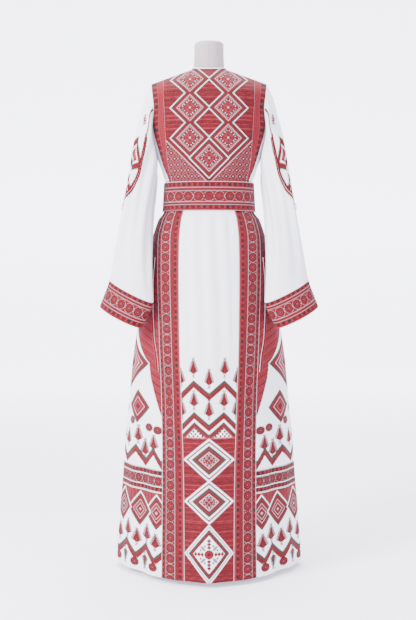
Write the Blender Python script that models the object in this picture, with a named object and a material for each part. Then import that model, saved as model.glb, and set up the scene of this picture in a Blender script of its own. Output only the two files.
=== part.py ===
"""A long-sleeved embroidered thobe on a limbless dress form, in metres, +Z up.

The back of the garment faces -Y. The origin is on the floor under the middle of the hem.
Every cloth piece is a thin wall: a grid of points on the garment's surface, and the same
grid moved inwards by the cloth's thickness. Neighbouring pieces share one surface and keep
a seam gap. Left is the wearer's left, at -X.
"""

import bpy
import numpy as np

SEAM_GAP = 0.0003
CLOTH = 0.0018
BELT_CLOTH = 0.003
BELT_CLEARANCE = 0.0019
TRIM_CLOTH = 0.0012

HEM_Z = 0.015
WAIST_Z = 1.108
BELT_BOTTOM_Z = 1.066
BELT_TOP_Z = 1.150
ARMPIT_Z = 1.222
BAND_SPLIT_Z = 1.315
TIP_X, TIP_Z = 0.171, 1.444
NECK_X, NECK_Z = 0.052, 1.4865
NECK_RISE = 0.030
BACK_NECK_Z = 1.480
FRONT_NECK_Z = 1.415
SHOULDER_ROUND = 0.060
BODICE_POWER = 2.3
SLIT_BOTTOM_Z = 1.285
SLIT_HALF_WIDTH = 0.004
CORNER_EASE = 0.016
SECTION_STEPS = 360

# Skirt: height, half width, half depth, and the powers of the section's outline across and in depth.
SKIRT = np.array([
    (0.015, 0.280, 0.252, 2.00, 1.05),
    (0.142, 0.272, 0.240, 2.00, 1.08),
    (0.262, 0.261, 0.228, 2.00, 1.15),
    (0.382, 0.252, 0.217, 2.00, 1.25),
    (0.502, 0.240, 0.206, 2.00, 1.40),
    (0.622, 0.229, 0.195, 2.00, 1.55),
    (0.712, 0.216, 0.184, 2.00, 1.65),
    (0.800, 0.203, 0.170, 2.05, 1.80),
    (0.920, 0.184, 0.150, 2.10, 1.95),
    (0.982, 0.171, 0.136, 2.15, 2.05),
    (1.012, 0.162, 0.126, 2.20, 2.15),
    (1.042, 0.151, 0.114, 2.25, 2.20),
    (1.066, 0.1345, 0.1015, 2.30, 2.30),
    (1.108, 0.1315, 0.1005, 2.30, 2.30),
])
# Skirt bands on the back: height, inner edge and outer edge from the middle.
SKIRT_BAND = np.array([
    (0.015, 0.070, 0.136),
    (0.300, 0.072, 0.134),
    (0.500, 0.078, 0.136),
    (0.700, 0.084, 0.144),
    (0.900, 0.086, 0.151),
    (0.980, 0.085, 0.150),
    (1.042, 0.079, 0.136),
    (1.066, 0.0735, 0.124),
    (1.108, 0.0715, 0.121),
])
# Bodice: height, half width, depth behind and depth in front of the shoulder line.
BODICE = np.array([
    (1.108, 0.1315, 0.1005, 0.1005),
    (1.156, 0.1300, 0.1010, 0.1020),
    (1.168, 0.1355, 0.1060, 0.1080),
    (1.192, 0.1425, 0.1120, 0.1150),
    (1.222, 0.1545, 0.1150, 0.1200),
    (1.270, 0.1700, 0.1180, 0.1250),
    (1.315, 0.1780, 0.1180, 0.1240),
    (1.360, 0.1830, 0.1140, 0.1150),
    (1.400, 0.1860, 0.1070, 0.1050),
    (1.444, 0.1900, 0.0900, 0.0900),
    (1.487, 0.1920, 0.0620, 0.0700),
    (1.540, 0.1920, 0.0600, 0.0700),
])
# Armhole: height and distance from the middle.
ARMHOLE = np.array([
    (1.222, 0.1545), (1.250, 0.1600), (1.280, 0.1635), (1.315, 0.1650),
    (1.362, 0.1612), (1.400, 0.1655), (1.444, 0.1710),
])
# Bodice bands: height, inner edge, outer edge. Above the split they end at the armhole.
BODICE_BAND = np.array([
    (1.108, 0.1060, 0.1140),
    (1.155, 0.1106, 0.1187),
    (1.190, 0.1180, 0.1320),
    (1.245, 0.1245, 0.1488),
    (1.315, 0.1280, 0.1650),
    (1.362, 0.1306, 0.1612),
    (1.400, 0.1325, 0.1655),
    (1.444, 0.1346, 0.1710),
])
# Sleeve rings from armhole to cuff opening: ring number; x, y, z of the outer edge;
# x, y, z of the inner edge; half depth from back to front.
SLEEVE = np.array([
    (0, 0.171, 0.000, 1.444, 0.1545, 0.000, 1.222, 0.062),
    (1, 0.188, -0.015, 1.402, 0.1538, -0.010, 1.211, 0.060),
    (2, 0.2007, -0.028, 1.344, 0.1535, -0.020, 1.1895, 0.056),
    (3, 0.2123, -0.034, 1.299, 0.1545, -0.032, 1.165, 0.053),
    (4, 0.2264, -0.042, 1.224, 0.1584, -0.048, 1.123, 0.050),
    (5, 0.2376, -0.050, 1.158, 0.1640, -0.062, 1.075, 0.047),
    (6, 0.2500, -0.057, 1.090, 0.1675, -0.078, 1.028, 0.045),
    (7, 0.2625, -0.064, 1.016, 0.1690, -0.096, 0.971, 0.043),
    (8, 0.2750, -0.070, 0.942, 0.1680, -0.114, 0.907, 0.041),
    (9, 0.2820, -0.076, 0.898, 0.1660, -0.126, 0.8465, 0.039),
    (10, 0.2886, -0.082, 0.865, 0.1626, -0.136, 0.799, 0.038),
    (11, 0.3160, -0.088, 0.789, 0.1950, -0.143, 0.725, 0.042),
])
CUFF_RING = 10
ARMHOLE_FADE = 2.5
ARMHOLE_PUFF = 0.008
# Sleeve piping: place along it, half turns round the sleeve from its top to the back, and ring.
PIPING = np.array([
    (0.00, 0.400, 0.20), (0.15, 0.370, 1.00), (0.32, 0.372, 2.00), (0.52, 0.430, 3.20), (0.66, 0.445, 4.05),
    (0.80, 0.369, 5.00), (0.90, 0.240, 5.70), (1.00, 0.000, 6.30),
])
PIPING_WIDTH = 0.004
PIPING_LIFT = 0.0034
# Pocket welt on the back of each side gore: height and distance of its middle from the centre.
WELT = np.array([(0.600, 0.1480), (0.640, 0.1520), (0.700, 0.1620), (0.780, 0.1660), (0.860, 0.1650),
                 (0.930, 0.1600)])
WELT_WIDTH = 0.010
WELT_LIFT = 0.0018

NECK_TOP_Z = 1.570
NECK_RADIUS_TOP, NECK_RADIUS_BOTTOM = 0.0435, 0.0460
FORM_BOTTOM_Z = 0.860
FORM_CLEARANCE = 0.009
FORM_WAIST_WIDTH, FORM_WAIST_DEPTH = 0.131, 0.100
SHOULDER_CLEARANCE = 0.0046
NECK_HOLLOW = 0.008
POLE_RADIUS = 0.016
BASE_RADIUS, BASE_HEIGHT = 0.165, 0.020

WHITE = (0.88, 0.88, 0.90)
RED = (0.55, 0.06, 0.08)
FORM_GREY = (0.72, 0.69, 0.68)
DARK_WOOD = (0.07, 0.045, 0.035)


def smooth(rows, at):
    """Columns 1.. of a table at positions of column 0, by slope-limited cubics: one array each."""
    x, y = rows[:, 0], rows[:, 1:]
    at = np.clip(at, x[0], x[-1])
    step = np.diff(x)
    slope = np.diff(y, axis=0) / step[:, None]
    product = slope[1:] * slope[:-1]
    inner = np.where(product > 0, 2 * product / np.where(product > 0, slope[1:] + slope[:-1], 1), 0)
    tangent = np.vstack([slope[:1], inner, slope[-1:]])
    i = np.clip(np.searchsorted(x, at, side="right") - 1, 0, len(x) - 2)
    h = step[i]
    t = (at - x[i]) / h
    parts = []
    for k in range(y.shape[1]):
        parts.append(y[i, k] * (1 + 2 * t) * (1 - t) ** 2 + y[i + 1, k] * t * t * (3 - 2 * t)
                     + h * tangent[i, k] * t * (1 - t) ** 2 - h * tangent[i + 1, k] * t * t * (1 - t))
    return parts


def power(value, exponent):
    return np.sign(value) * np.abs(value) ** exponent


def section(half_width, half_depth, power_across, power_deep):
    """One level of the skirt: girth from the centre back round by +X, and its x and y."""
    turn = np.linspace(0, 2 * np.pi, SECTION_STEPS + 1)
    x = half_width * power(np.sin(turn), 2 / power_across)
    y = -half_depth * power(np.cos(turn), 2 / power_deep)
    girth = np.r_[0, np.cumsum(np.hypot(np.diff(x), np.diff(y)))]
    even = np.linspace(0, girth[-1], SECTION_STEPS, endpoint=False)
    outline = np.interp(even, girth, x) + 1j * np.interp(even, girth, y)
    frequency = np.fft.fftfreq(SECTION_STEPS, girth[-1] / SECTION_STEPS)
    outline = np.fft.ifft(np.fft.fft(outline) * np.exp(-2 * (np.pi * CORNER_EASE * frequency) ** 2))
    x = outline.real * half_width / np.abs(outline.real).max()
    y = outline.imag * half_depth / np.abs(outline.imag).max()
    x, y = np.r_[x, x[0]], np.r_[y, y[0]]
    return np.r_[0, np.cumsum(np.hypot(np.diff(x), np.diff(y)))], x, y


def girth_at(x_edge, z, front=False):
    """Girth distance at each height of the point this far from the middle, back or front."""
    found = []
    for edge, level in zip(np.broadcast_to(x_edge, z.shape), z):
        girth, x, _ = section(*smooth(SKIRT, level))
        side = int(np.argmax(x))
        s = np.interp(edge, x[:side + 1], girth[:side + 1])
        found.append(girth[-1] / 2 - s if front else s)
    return np.array(found)


def skirt_level(s, z):
    """Points of the unfolded skirt surface; each row of s lies at one height of z."""
    points = np.empty(s.shape + (3,))
    whole = np.empty(s.shape)
    for row, level in enumerate(z):
        girth, x, y = section(*smooth(SKIRT, level))
        around = np.mod(s[row], girth[-1])
        points[row, :, 0] = np.interp(around, girth, x)
        points[row, :, 1] = np.interp(around, girth, y)
        points[row, :, 2] = level
        whole[row] = girth[-1]
    return points, whole


def unit(vectors):
    return vectors / np.maximum(np.linalg.norm(vectors, axis=-1, keepdims=True), 1e-12)


def skirt_folds(s, whole, z):
    """How far the cloth stands out: soft folds that deepen to the hem, and gathers at the waist."""
    turn = 2 * np.pi * s / whole
    fall = np.clip((0.98 - z) / 0.9, 0, 1)
    folds = fall * (0.0024 * np.cos(10 * turn) + 0.0020 * np.cos(16 * turn))
    centre = np.clip((0.074 - np.abs(s)) / 0.014, 0, 1)
    below_belt = np.clip((1.058 - z) / 0.016, 0, 1) * np.exp(-(((z - 1.045) / 0.05) ** 2))
    return folds + 0.0020 * centre * below_belt * np.cos(2 * np.pi * s / 0.040)


def skirt_wall(s, z, lift=0.0, cloth=CLOTH, folded=True):
    """Outer and inner points of a skirt piece."""
    near = 0.002
    points, whole = skirt_level(s, z)
    along = skirt_level(s + near, z)[0] - skirt_level(s - near, z)[0]
    z_row = np.clip(z, HEM_Z + near, WAIST_Z - near)
    up = skirt_level(s, z_row + near)[0] - skirt_level(s, z_row - near)[0]
    normal = unit(np.cross(along, up))
    out = lift + (skirt_folds(s, whole, z[:, None]) if folded else 0)
    outer = points + normal * (out[..., None] if folded else out)
    outer[..., 2] = z[:, None]
    inner = outer - normal * cloth
    inner[..., 2] = z[:, None]
    return outer, inner


def ridge(x):
    """Height of the shoulder line over each x, carried on above the neck opening."""
    x = np.abs(x)
    slope = (NECK_Z - TIP_Z) / (TIP_X - NECK_X)
    return np.where(x > NECK_X, NECK_Z - slope * (x - NECK_X), NECK_Z + NECK_RISE * (1 - (x / NECK_X) ** 2))


def bodice_y(x, z, front=False, shrink=0.0, drop=0.0):
    """Depth of the bodice at x and z: flat over the back, round at the side and over the shoulder."""
    width, back, chest = smooth(BODICE, z)
    depth = (chest if front else back) - shrink
    side = np.clip(1 - (np.abs(x) / (width - shrink)) ** BODICE_POWER, 0, 1) ** (1 / BODICE_POWER)
    over = 1 - np.clip(1 - (ridge(x) - drop - z) / SHOULDER_ROUND, 0, 1) ** 2
    return (1 if front else -1) * depth * side * np.sqrt(over)


def bodice_normal(points, front=False):
    """Outward direction, from how (y / depth)^2 + (rounding over the shoulder)^2 grows."""
    near = 0.0008

    def grown(x, y, z):
        width, back, chest = smooth(BODICE, z)
        depth = (chest if front else back)
        side = np.clip(1 - (np.abs(x) / width) ** BODICE_POWER, 1e-6, 1) ** (1 / BODICE_POWER)
        return (y / (depth * side)) ** 2 + np.clip(1 - (ridge(x) - z) / SHOULDER_ROUND, 0, 2) ** 2

    x, y, z = points[..., 0], points[..., 1], points[..., 2]
    rise = [grown(x + near, y, z) - grown(x - near, y, z),
            grown(x, y + near, z) - grown(x, y - near, z),
            grown(x, y, z + near) - grown(x, y, z - near)]
    return unit(np.stack(rise, axis=-1))


def neck_line(x, front=False):
    """Height of the bodice's top edge: the shoulder line, and the neckline inside it."""
    part = np.clip(np.abs(x) / NECK_X, 0, 1)
    if front:
        dip = FRONT_NECK_Z + (NECK_Z - FRONT_NECK_Z) * (1 - np.sqrt(1 - part ** 2))
    else:
        dip = BACK_NECK_Z + (NECK_Z - BACK_NECK_Z) * part ** 2
    return np.where(np.abs(x) < NECK_X, dip, ridge(x))


def band_edges(z):
    """Inner and outer edge of the bodice bands; above the split the armhole is the outer edge."""
    inner, outer = smooth(BODICE_BAND, z)
    return inner, np.where(z > BAND_SPLIT_Z - 1e-9, smooth(ARMHOLE, z)[0], outer)


def onto_shoulder(x, z_row, front=False):
    """Heights of a bodice row: its own at the split, and the shoulder and neck line at the top."""
    rise = np.clip((z_row - BAND_SPLIT_Z) / (TIP_Z - BAND_SPLIT_Z), 0, 1)
    return z_row + rise ** 2 * (neck_line(x, front) - TIP_Z)


def bodice_wall(across, z_row, from_edge, to_edge, side, front=False):
    """Wall between two edges (columns of BODICE_BAND, or None for the middle line)."""
    edges = band_edges(z_row)
    start = edges[from_edge] + SEAM_GAP / 2 if from_edge is not None else -edges[to_edge] + SEAM_GAP / 2
    stop = edges[to_edge] - SEAM_GAP / 2
    x = start[:, None] + (stop - start)[:, None] * across[None, :]
    z = onto_shoulder(x, z_row[:, None], front)
    points = np.stack([x, bodice_y(x, z, front), z], axis=-1)
    half = SEAM_GAP / 2
    normal = bodice_normal(points, front)
    inner = points - normal * CLOTH
    for wall in (points, inner):
        wall[..., 1] = np.maximum(wall[..., 1], half) if front else np.minimum(wall[..., 1], -half)
        wall[..., 0] *= side
    return points, inner


def side_panel_wall(across, z_edge, side):
    """White side cloth: across runs from -1 at the back band to 1 at the front band."""
    low, high = z_edge[0], z_edge[-1]
    reach = np.abs(across)[None, :]
    rise = ((z_edge - low) / (high - low))[:, None]
    z_top = ARMPIT_Z + (high - ARMPIT_Z) * reach ** 2
    z = low + rise * (z_top - low)

    def turn_at(x, level):
        width = smooth(BODICE, level)[0]
        return np.arcsin(np.clip(x / width, 0, 1) ** (BODICE_POWER / 2))

    band = turn_at(band_edges(z_edge)[1] + SEAM_GAP / 2, z_edge)
    arm = turn_at(smooth(ARMHOLE, z_top)[0], z_top)
    share = (1 - rise) * reach + rise * (np.pi / 2 - arm) / (np.pi / 2 - band[-1])
    turn = np.pi / 2 - (np.pi / 2 - band)[:, None] * share

    def place(turn, z):
        width, back, chest = smooth(BODICE, z)
        depth = np.where(across[None, :] > 0, chest, -back)
        return np.stack([width * np.sin(turn) ** (2 / BODICE_POWER),
                         depth * np.abs(np.cos(turn)) ** (2 / BODICE_POWER), z + 0 * turn], axis=-1)

    points = place(turn, z)
    widths, backs, chests = smooth(BODICE, z)
    depths = np.where(across[None, :] > 0, chests, backs)
    lean = smooth(BODICE, z + 0.003)[0] - smooth(BODICE, z - 0.003)[0]
    nx = (points[..., 0] / widths) ** (BODICE_POWER - 1) / widths
    ny = power(points[..., 1] / depths, BODICE_POWER - 1) / depths
    normal = unit(np.stack([nx, ny, -nx * lean / 0.006], axis=-1))
    inner = points - normal * CLOTH
    inner[..., 2] = points[..., 2]
    for wall in (points, inner):
        wall[..., 0] *= side
    return points, inner


def sleeve_ring(turn, ring):
    """Points of the sleeve's surface on the wearer's right (+X): turn 0 is its top, 90 degrees its back."""
    ox, oy, oz, ix, iy, iz, half_depth = [part[..., None] for part in smooth(SLEEVE, ring)]
    outer = np.concatenate([ox, oy, oz], axis=-1)
    inner = np.concatenate([ix, iy, iz], axis=-1)
    middle, half = (outer + inner) / 2, (outer - inner) / 2
    back = np.stack([half[..., 1], -half[..., 0], 0 * half[..., 0]], axis=-1)
    back = unit(back) * half_depth
    return (middle + half * np.cos(turn)[..., None] + back * np.sin(turn)[..., None])


def armhole_ring(turn):
    z_row = (TIP_Z + ARMPIT_Z) / 2 + (TIP_Z - ARMPIT_Z) / 2 * np.cos(turn)
    x = smooth(ARMHOLE, z_row)[0]
    z = onto_shoulder(x, z_row)
    y = np.where(np.sin(turn) > 0, bodice_y(x, z), bodice_y(x, z, True))
    return np.stack([x + SEAM_GAP, y, z], axis=-1)


def sleeve_folds(turn, ring):
    """Soft lengthwise folds, deepest in the middle of the sleeve, and one crease by the shoulder."""
    middle = np.clip(ring / 3, 0, 1) * np.clip((CUFF_RING - ring) / 3, 0, 1)
    soft = 0.0022 * np.cos(5 * turn + 0.25 * ring) + 0.0014 * np.cos(9 * turn - 0.3 * ring)
    crease = -0.006 * np.exp(-((turn - 0.75) / 0.16) ** 2) * np.exp(-((ring - 1.9) / 0.9) ** 2)
    return middle * soft + crease


def sleeve_surface(turn, ring):
    """The sleeve's surface, drawn onto the armhole over its first rings."""
    fade = np.clip(1 - ring / ARMHOLE_FADE, 0, 1)
    start = sleeve_ring(turn, 0 * ring)
    points = sleeve_ring(turn, ring) + (fade ** 2)[..., None] * (armhole_ring(turn) - start)
    points[..., 0] += ARMHOLE_PUFF * fade * (1 - np.exp(-ring / 0.3)) * np.abs(np.sin(turn))
    return points


def sleeve_wall(turn, ring, side, lift=0.0, cloth=CLOTH):
    near = 0.01
    points = sleeve_surface(turn, ring)
    along = sleeve_surface(turn + near, ring) - sleeve_surface(turn - near, ring)
    high = np.clip(ring + near, 0, SLEEVE[-1, 0])
    low = np.clip(ring - near, 0, SLEEVE[-1, 0])
    down = sleeve_surface(turn, high) - sleeve_surface(turn, low)
    normal = unit(np.cross(along, down))
    outer = points + normal * (lift + sleeve_folds(turn, ring))[..., None]
    inner = outer - normal * cloth
    start = (ring < 0.01) & (np.cos(turn) > 0)
    shoulder = np.where(points[..., 1:2] < 0, bodice_normal(points - [SEAM_GAP, 0, 0]),
                        bodice_normal(points - [SEAM_GAP, 0, 0], True))
    weight = np.where(start, np.cos(turn), 0)[..., None]
    inner = outer - unit(normal * (1 - weight) + shoulder * weight) * cloth
    for wall in (outer, inner):
        wall[..., 0] *= side
    return outer, inner


def material(name, colour, roughness):
    made = bpy.data.materials.new(name)
    made.use_nodes = True
    shader = made.node_tree.nodes["Principled BSDF"]
    shader.inputs["Base Color"].default_value = (*colour, 1)
    shader.inputs["Roughness"].default_value = roughness
    shader.inputs["Metallic"].default_value = 0
    return made


def add(name, points, faces, made_of):
    """Adds one closed mesh, turned so that its faces point out."""
    points = np.asarray(points, float)
    faces = np.asarray(faces, int)
    corners = points[faces]
    volume = np.einsum("ij,ij->", corners[:, 0], np.cross(corners[:, 1], corners[:, 2]))
    mesh = bpy.data.meshes.new(name)
    mesh.from_pydata(points.tolist(), [], (faces if volume > 0 else faces[:, ::-1]).tolist())
    mesh.shade_smooth()
    mesh.set_sharp_from_angle(angle=0.7)
    made = bpy.data.objects.new(name, mesh)
    mesh.materials.append(made_of)
    bpy.context.scene.collection.objects.link(made)
    return made


def sheet(name, walls, made_of, around=False, cut=None):
    """Closes an outer and an inner grid of points into one wall; cut marks cells left open."""
    outer, inner = walls
    rows, columns = outer.shape[:2]
    wide = columns if around else columns - 1
    kept = np.ones((rows - 1, wide), bool)
    if cut is not None:
        kept &= ~cut
    count = rows * columns

    def at(row, column):
        return row * columns + column % columns

    faces = []
    for i, j in zip(*np.nonzero(kept)):
        a, b, c, d = at(i, j), at(i, j + 1), at(i + 1, j + 1), at(i + 1, j)
        faces += [(a, b, c), (a, c, d), (count + c, count + b, count + a), (count + d, count + c, count + a)]
        beside = ((i - 1, j, a, b), (i, j + 1, b, c), (i + 1, j, c, d), (i, j - 1, d, a))
        for row, column, start, end in beside:
            if around:
                column %= wide
            inside = 0 <= row < rows - 1 and 0 <= column < wide and kept[row, column]
            if not inside:
                faces += [(end, start, count + start), (end, count + start, count + end)]
    points = np.concatenate([outer.reshape(-1, 3), inner.reshape(-1, 3)])
    used, index = np.unique(np.array(faces), return_inverse=True)
    return add(name, points[used], index.reshape(-1, 3), made_of)


def tube(name, rings, made_of, closed=False):
    """A solid through rings of points (rows of loops), with its ends filled unless it closes on itself."""
    count, sides = rings.shape[:2]
    faces = []
    for i in range(count if closed else count - 1):
        for j in range(sides):
            a, b = i * sides + j, i * sides + (j + 1) % sides
            c, d = (i + 1) % count * sides + (j + 1) % sides, (i + 1) % count * sides + j
            faces += [(a, b, c), (a, c, d)]
    points = rings.reshape(-1, 3)
    if not closed:
        points = np.vstack([points, rings[0].mean(axis=0), rings[-1].mean(axis=0)])
        last = (count - 1) * sides
        for j in range(sides):
            k = (j + 1) % sides
            faces += [(k, j, count * sides), (last + j, last + k, count * sides + 1)]
    return add(name, points, faces, made_of)


for old in list(bpy.data.objects):
    bpy.data.objects.remove(old)

white_cloth = material("white_cloth", WHITE, 0.8)
red_cloth = material("red_embroidery", RED, 0.75)
form_skin = material("form_cover", FORM_GREY, 0.6)
dark_wood = material("dark_wood", DARK_WOOD, 0.5)
sides = (("left", -1), ("right", 1))
faces_of = (("back", False), ("front", True))

# Skirt: centre panels, long bands and side gores, from the waist seam to the hem.
below_belt = BELT_BOTTOM_Z - (BELT_BOTTOM_Z - HEM_Z) * np.linspace(0, 1, 18) ** 1.5
skirt_rows = np.r_[WAIST_Z, below_belt]
band_inner, band_outer = smooth(SKIRT_BAND, skirt_rows)
level_girth = np.array([section(*smooth(SKIRT, z))[0][-1] for z in skirt_rows])


def skirt_piece(start, stop, columns):
    """Outer and inner walls between two girth distances, a seam gap in from each."""
    across = np.linspace(0, 1, columns + 1)[None, :]
    s = (start + SEAM_GAP / 2)[:, None] * (1 - across) + (stop - SEAM_GAP / 2)[:, None] * across
    return skirt_wall(s, skirt_rows)


for face, front in faces_of:
    edge, band_edge = girth_at(band_inner, skirt_rows, front), girth_at(band_outer, skirt_rows, front)
    if front:
        sheet("front_skirt", skirt_piece(edge, level_girth - edge, 8), white_cloth)
    else:
        sheet("back_skirt", skirt_piece(-edge, edge, 12), white_cloth)
    for name, side in sides:
        start, stop = sorted([side * edge, side * band_edge], key=lambda values: values[0])
        sheet(f"skirt_band_{face}_{name}", skirt_piece(start, stop, 3), red_cloth)

for name, side in sides:
    back_edge = girth_at(band_outer, skirt_rows)
    front_edge = girth_at(band_outer, skirt_rows, True)
    start, stop = sorted([side * back_edge, side * front_edge], key=lambda values: values[0])
    sheet(f"side_gore_{name}", skirt_piece(start, stop, 11), red_cloth)

# Pocket welts: narrow strips that edge the hip slits, lying on the gores.
welt_rows = np.linspace(WELT[-1, 0], WELT[0, 0], 12)
welt_middle = girth_at(smooth(WELT, welt_rows)[0], welt_rows)
for name, side in sides:
    s = side * (welt_middle[:, None] + WELT_WIDTH * np.array([-0.5, 0.5])[None, :])
    sheet(f"pocket_welt_{name}", skirt_wall(s, welt_rows, WELT_LIFT, TRIM_CLOTH), red_cloth)

# Belt: one stiff band round the waist.
belt_rows = np.linspace(BELT_BOTTOM_Z, BELT_TOP_Z, 3)
belt_turn = np.linspace(0, 2 * np.pi, 40, endpoint=False)


def belt_ring(out):
    width, depth = np.where(belt_rows < WAIST_Z, smooth(SKIRT, belt_rows)[:2], smooth(BODICE, belt_rows)[:2])
    width, depth = width + out, depth + out
    x = width[:, None] * power(np.sin(belt_turn), 2 / BODICE_POWER)
    y = -depth[:, None] * power(np.cos(belt_turn), 2 / BODICE_POWER)
    return np.stack([x, y, belt_rows[:, None] + 0 * x], axis=-1)


sheet("belt", (belt_ring(BELT_CLEARANCE + BELT_CLOTH), belt_ring(BELT_CLEARANCE)), red_cloth, around=True)

# Bodice: back and front panels and the four armhole bands.
side_rows = np.linspace(WAIST_Z + SEAM_GAP, BAND_SPLIT_Z, 10)
upper_rows = TIP_Z - (TIP_Z - BAND_SPLIT_Z) * (1 - np.linspace(0, 1, 8)[1:]) ** 2
bodice_rows = np.r_[side_rows, upper_rows]
neck_share = NECK_X / BODICE_BAND[-1, 1]
half_across = np.array([0, 0.14, 0.26, 0.34, neck_share, 0.58, 0.80, 1])
back_across = np.r_[-half_across[:0:-1], half_across] / 2 + 0.5
sheet("back_bodice", bodice_wall(back_across, bodice_rows, None, 0, 1), red_cloth)
slit_share = SLIT_HALF_WIDTH / BODICE_BAND[-1, 1]
half_across = np.array([slit_share, 0.15, 0.26, 0.34, neck_share, 0.58, 0.80, 1])
front_across = np.r_[-half_across[::-1], half_across] / 2 + 0.5
front_walls = bodice_wall(front_across, bodice_rows, None, 0, 1, True)
open_cells = np.zeros((len(bodice_rows) - 1, len(front_across) - 1), bool)
middle_column = len(half_across) - 1
open_cells[:, middle_column] = front_walls[0][:-1, middle_column, 2] > SLIT_BOTTOM_Z
sheet("front_bodice", front_walls, white_cloth, cut=open_cells)
band_across = np.linspace(0, 1, 3)
for face, front in faces_of:
    for name, side in sides:
        sheet(f"armhole_band_{face}_{name}", bodice_wall(band_across, bodice_rows, 0, 1, side, front), red_cloth)

# White side cloth under the arms.
panel_across = np.linspace(-1, 1, 9)
for name, side in sides:
    panel = side_panel_wall(panel_across, side_rows, side)
    sheet(f"side_panel_{name}", panel, white_cloth)

# Neck binding: a thin cord round the neckline, open at the front slit.
binding_radius = 0.0013
slit_start = SLIT_HALF_WIDTH / NECK_X
quarter = np.sin(np.linspace(np.arcsin(slit_start), np.pi / 2, 10)) * NECK_X
half_back = np.sin(np.linspace(np.pi / 2, 0, 10)[1:]) * NECK_X
line_x = np.r_[quarter, half_back, -half_back[-2::-1], -quarter[::-1]]
is_front = np.r_[np.ones(10, bool), np.zeros(17, bool), np.ones(10, bool)]
line_z = np.where(is_front, neck_line(line_x, True), neck_line(line_x))
line_y = np.where(is_front, bodice_y(line_x, line_z, True), bodice_y(line_x, line_z))
line = np.stack([line_x, line_y, line_z], axis=-1)
surface = np.where(is_front[:, None], bodice_normal(line, True), bodice_normal(line))
off_edge = np.cross(surface, unit(np.gradient(line, axis=0)))
off_edge *= np.sign(off_edge[:, 2:] - np.abs(line_x[:, None]) * 1e-6)
line += off_edge * (binding_radius + 4 * SEAM_GAP)
ahead = unit(np.gradient(line, axis=0))
out = unit(np.cross(ahead, [0, 0, 1]))
over = np.cross(out, ahead)
angle = np.linspace(0, 2 * np.pi, 6, endpoint=False)[None, :, None]
ring_points = line[:, None] + binding_radius * (out[:, None] * np.cos(angle) + over[:, None] * np.sin(angle))
tube("neck_binding", ring_points, white_cloth)

# Sleeves, cuffs and the red piping that edges the embroidered outer arm.
armhole_rows = np.r_[bodice_rows[:len(side_rows) - 2:-1],
                     ARMPIT_Z + (BAND_SPLIT_Z - ARMPIT_Z) * panel_across[1:5] ** 2]
half_turn = np.arccos(np.clip((2 * armhole_rows - TIP_Z - ARMPIT_Z) / (TIP_Z - ARMPIT_Z), -1, 1))
sleeve_turn = np.r_[half_turn, 2 * np.pi - half_turn[-2:0:-1]][None, :]
ring_gap = SEAM_GAP / 0.08
sleeve_rows = np.r_[0, 0.35, 0.8, 1.3, 1.8, 2.4, np.linspace(3.1, CUFF_RING - ring_gap, 9)][:, None]
cuff_rows = np.linspace(CUFF_RING, SLEEVE[-1, 0], 4)[:, None]
for name, side in sides:
    for piece, rows, made_of in (("sleeve", sleeve_rows, white_cloth), ("cuff", cuff_rows, red_cloth)):
        turn, ring = np.broadcast_arrays(sleeve_turn, rows)
        sheet(f"{piece}_{name}", sleeve_wall(turn, ring, side), made_of, around=True)
    line_rows = np.linspace(0, 1, 23)
    turn, ring = smooth(PIPING, line_rows)
    pace = unit(np.gradient(np.stack([turn * np.pi * 0.06, ring * 0.07], axis=-1), axis=0))
    shift = PIPING_WIDTH / 2 * np.array([-1, 1])[None, :]
    wide_turn = turn[:, None] * np.pi + shift * pace[:, 1:2] / 0.06
    wide_ring = np.clip(ring[:, None] - shift * pace[:, 0:1] / 0.07, 0.1, CUFF_RING)
    whole_turn = np.concatenate([wide_turn, -wide_turn[-2::-1]])
    whole_ring = np.concatenate([wide_ring, wide_ring[-2::-1]])
    sheet(f"sleeve_piping_{name}", sleeve_wall(whole_turn, whole_ring, side, PIPING_LIFT, TRIM_CLOTH), red_cloth)

# Dress form: torso cut flat at the arms, with shoulders under the cloth and a neck with a domed cap.
form_levels = np.r_[np.linspace(FORM_BOTTOM_Z, 1.36, 9), np.linspace(1.40, 1.482, 8), 1.495,
                    np.linspace(1.53, NECK_TOP_Z - 0.008, 2), NECK_TOP_Z - 0.003]
form_turn = np.linspace(0, 2 * np.pi, 24, endpoint=False)
arm_plate_x = 0.150
rings = []
for z in form_levels:
    neck = NECK_RADIUS_BOTTOM + (NECK_RADIUS_TOP - NECK_RADIUS_BOTTOM) * np.clip((z - 1.48) / 0.06, 0, 1)
    neck *= 1 - 0.10 * np.clip((z - NECK_TOP_Z + 0.008) / 0.005, 0, 1)
    fall = (NECK_Z - SHOULDER_CLEARANCE - z) * (TIP_X - NECK_X) / (NECK_Z - TIP_Z) + NECK_X
    reach = min(arm_plate_x, fall) if z < NECK_Z - SHOULDER_CLEARANCE else 0
    if z < WAIST_Z:
        skirt = smooth(SKIRT, z)
        flare = np.clip(1.05 - z, 0, 1)
        reach = min(skirt[0], FORM_WAIST_WIDTH + 0.30 * flare) - FORM_CLEARANCE
    elif z < ARMPIT_Z + 0.06:
        reach = min(reach, smooth(BODICE, z)[0] - FORM_CLEARANCE)
    reach = max(reach, neck)
    x = reach * np.sin(form_turn)
    if z < WAIST_Z:
        y = -(min(skirt[1], FORM_WAIST_DEPTH + 0.20 * flare) - FORM_CLEARANCE) * np.cos(form_turn)
    else:
        drop = SHOULDER_CLEARANCE + NECK_HOLLOW * np.clip((0.064 - np.abs(x)) / 0.010, 0, 1)
        torso = [bodice_y(x, np.full(x.shape, z), front, FORM_CLEARANCE, drop)
                 for front in (False, True)]
        stub = np.sqrt(np.clip(neck ** 2 - x ** 2, 0, None)) if z > 1.40 else 0 * x
        y = np.where(np.cos(form_turn) > 0, np.minimum(torso[0], -stub), np.maximum(torso[1], stub))
        y = np.where(np.abs(np.cos(form_turn)) < 1e-9, 0, y)
    rings.append(np.stack([x, y, np.full(x.shape, z)], axis=-1))
tube("form_torso", np.array(rings), form_skin)


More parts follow.
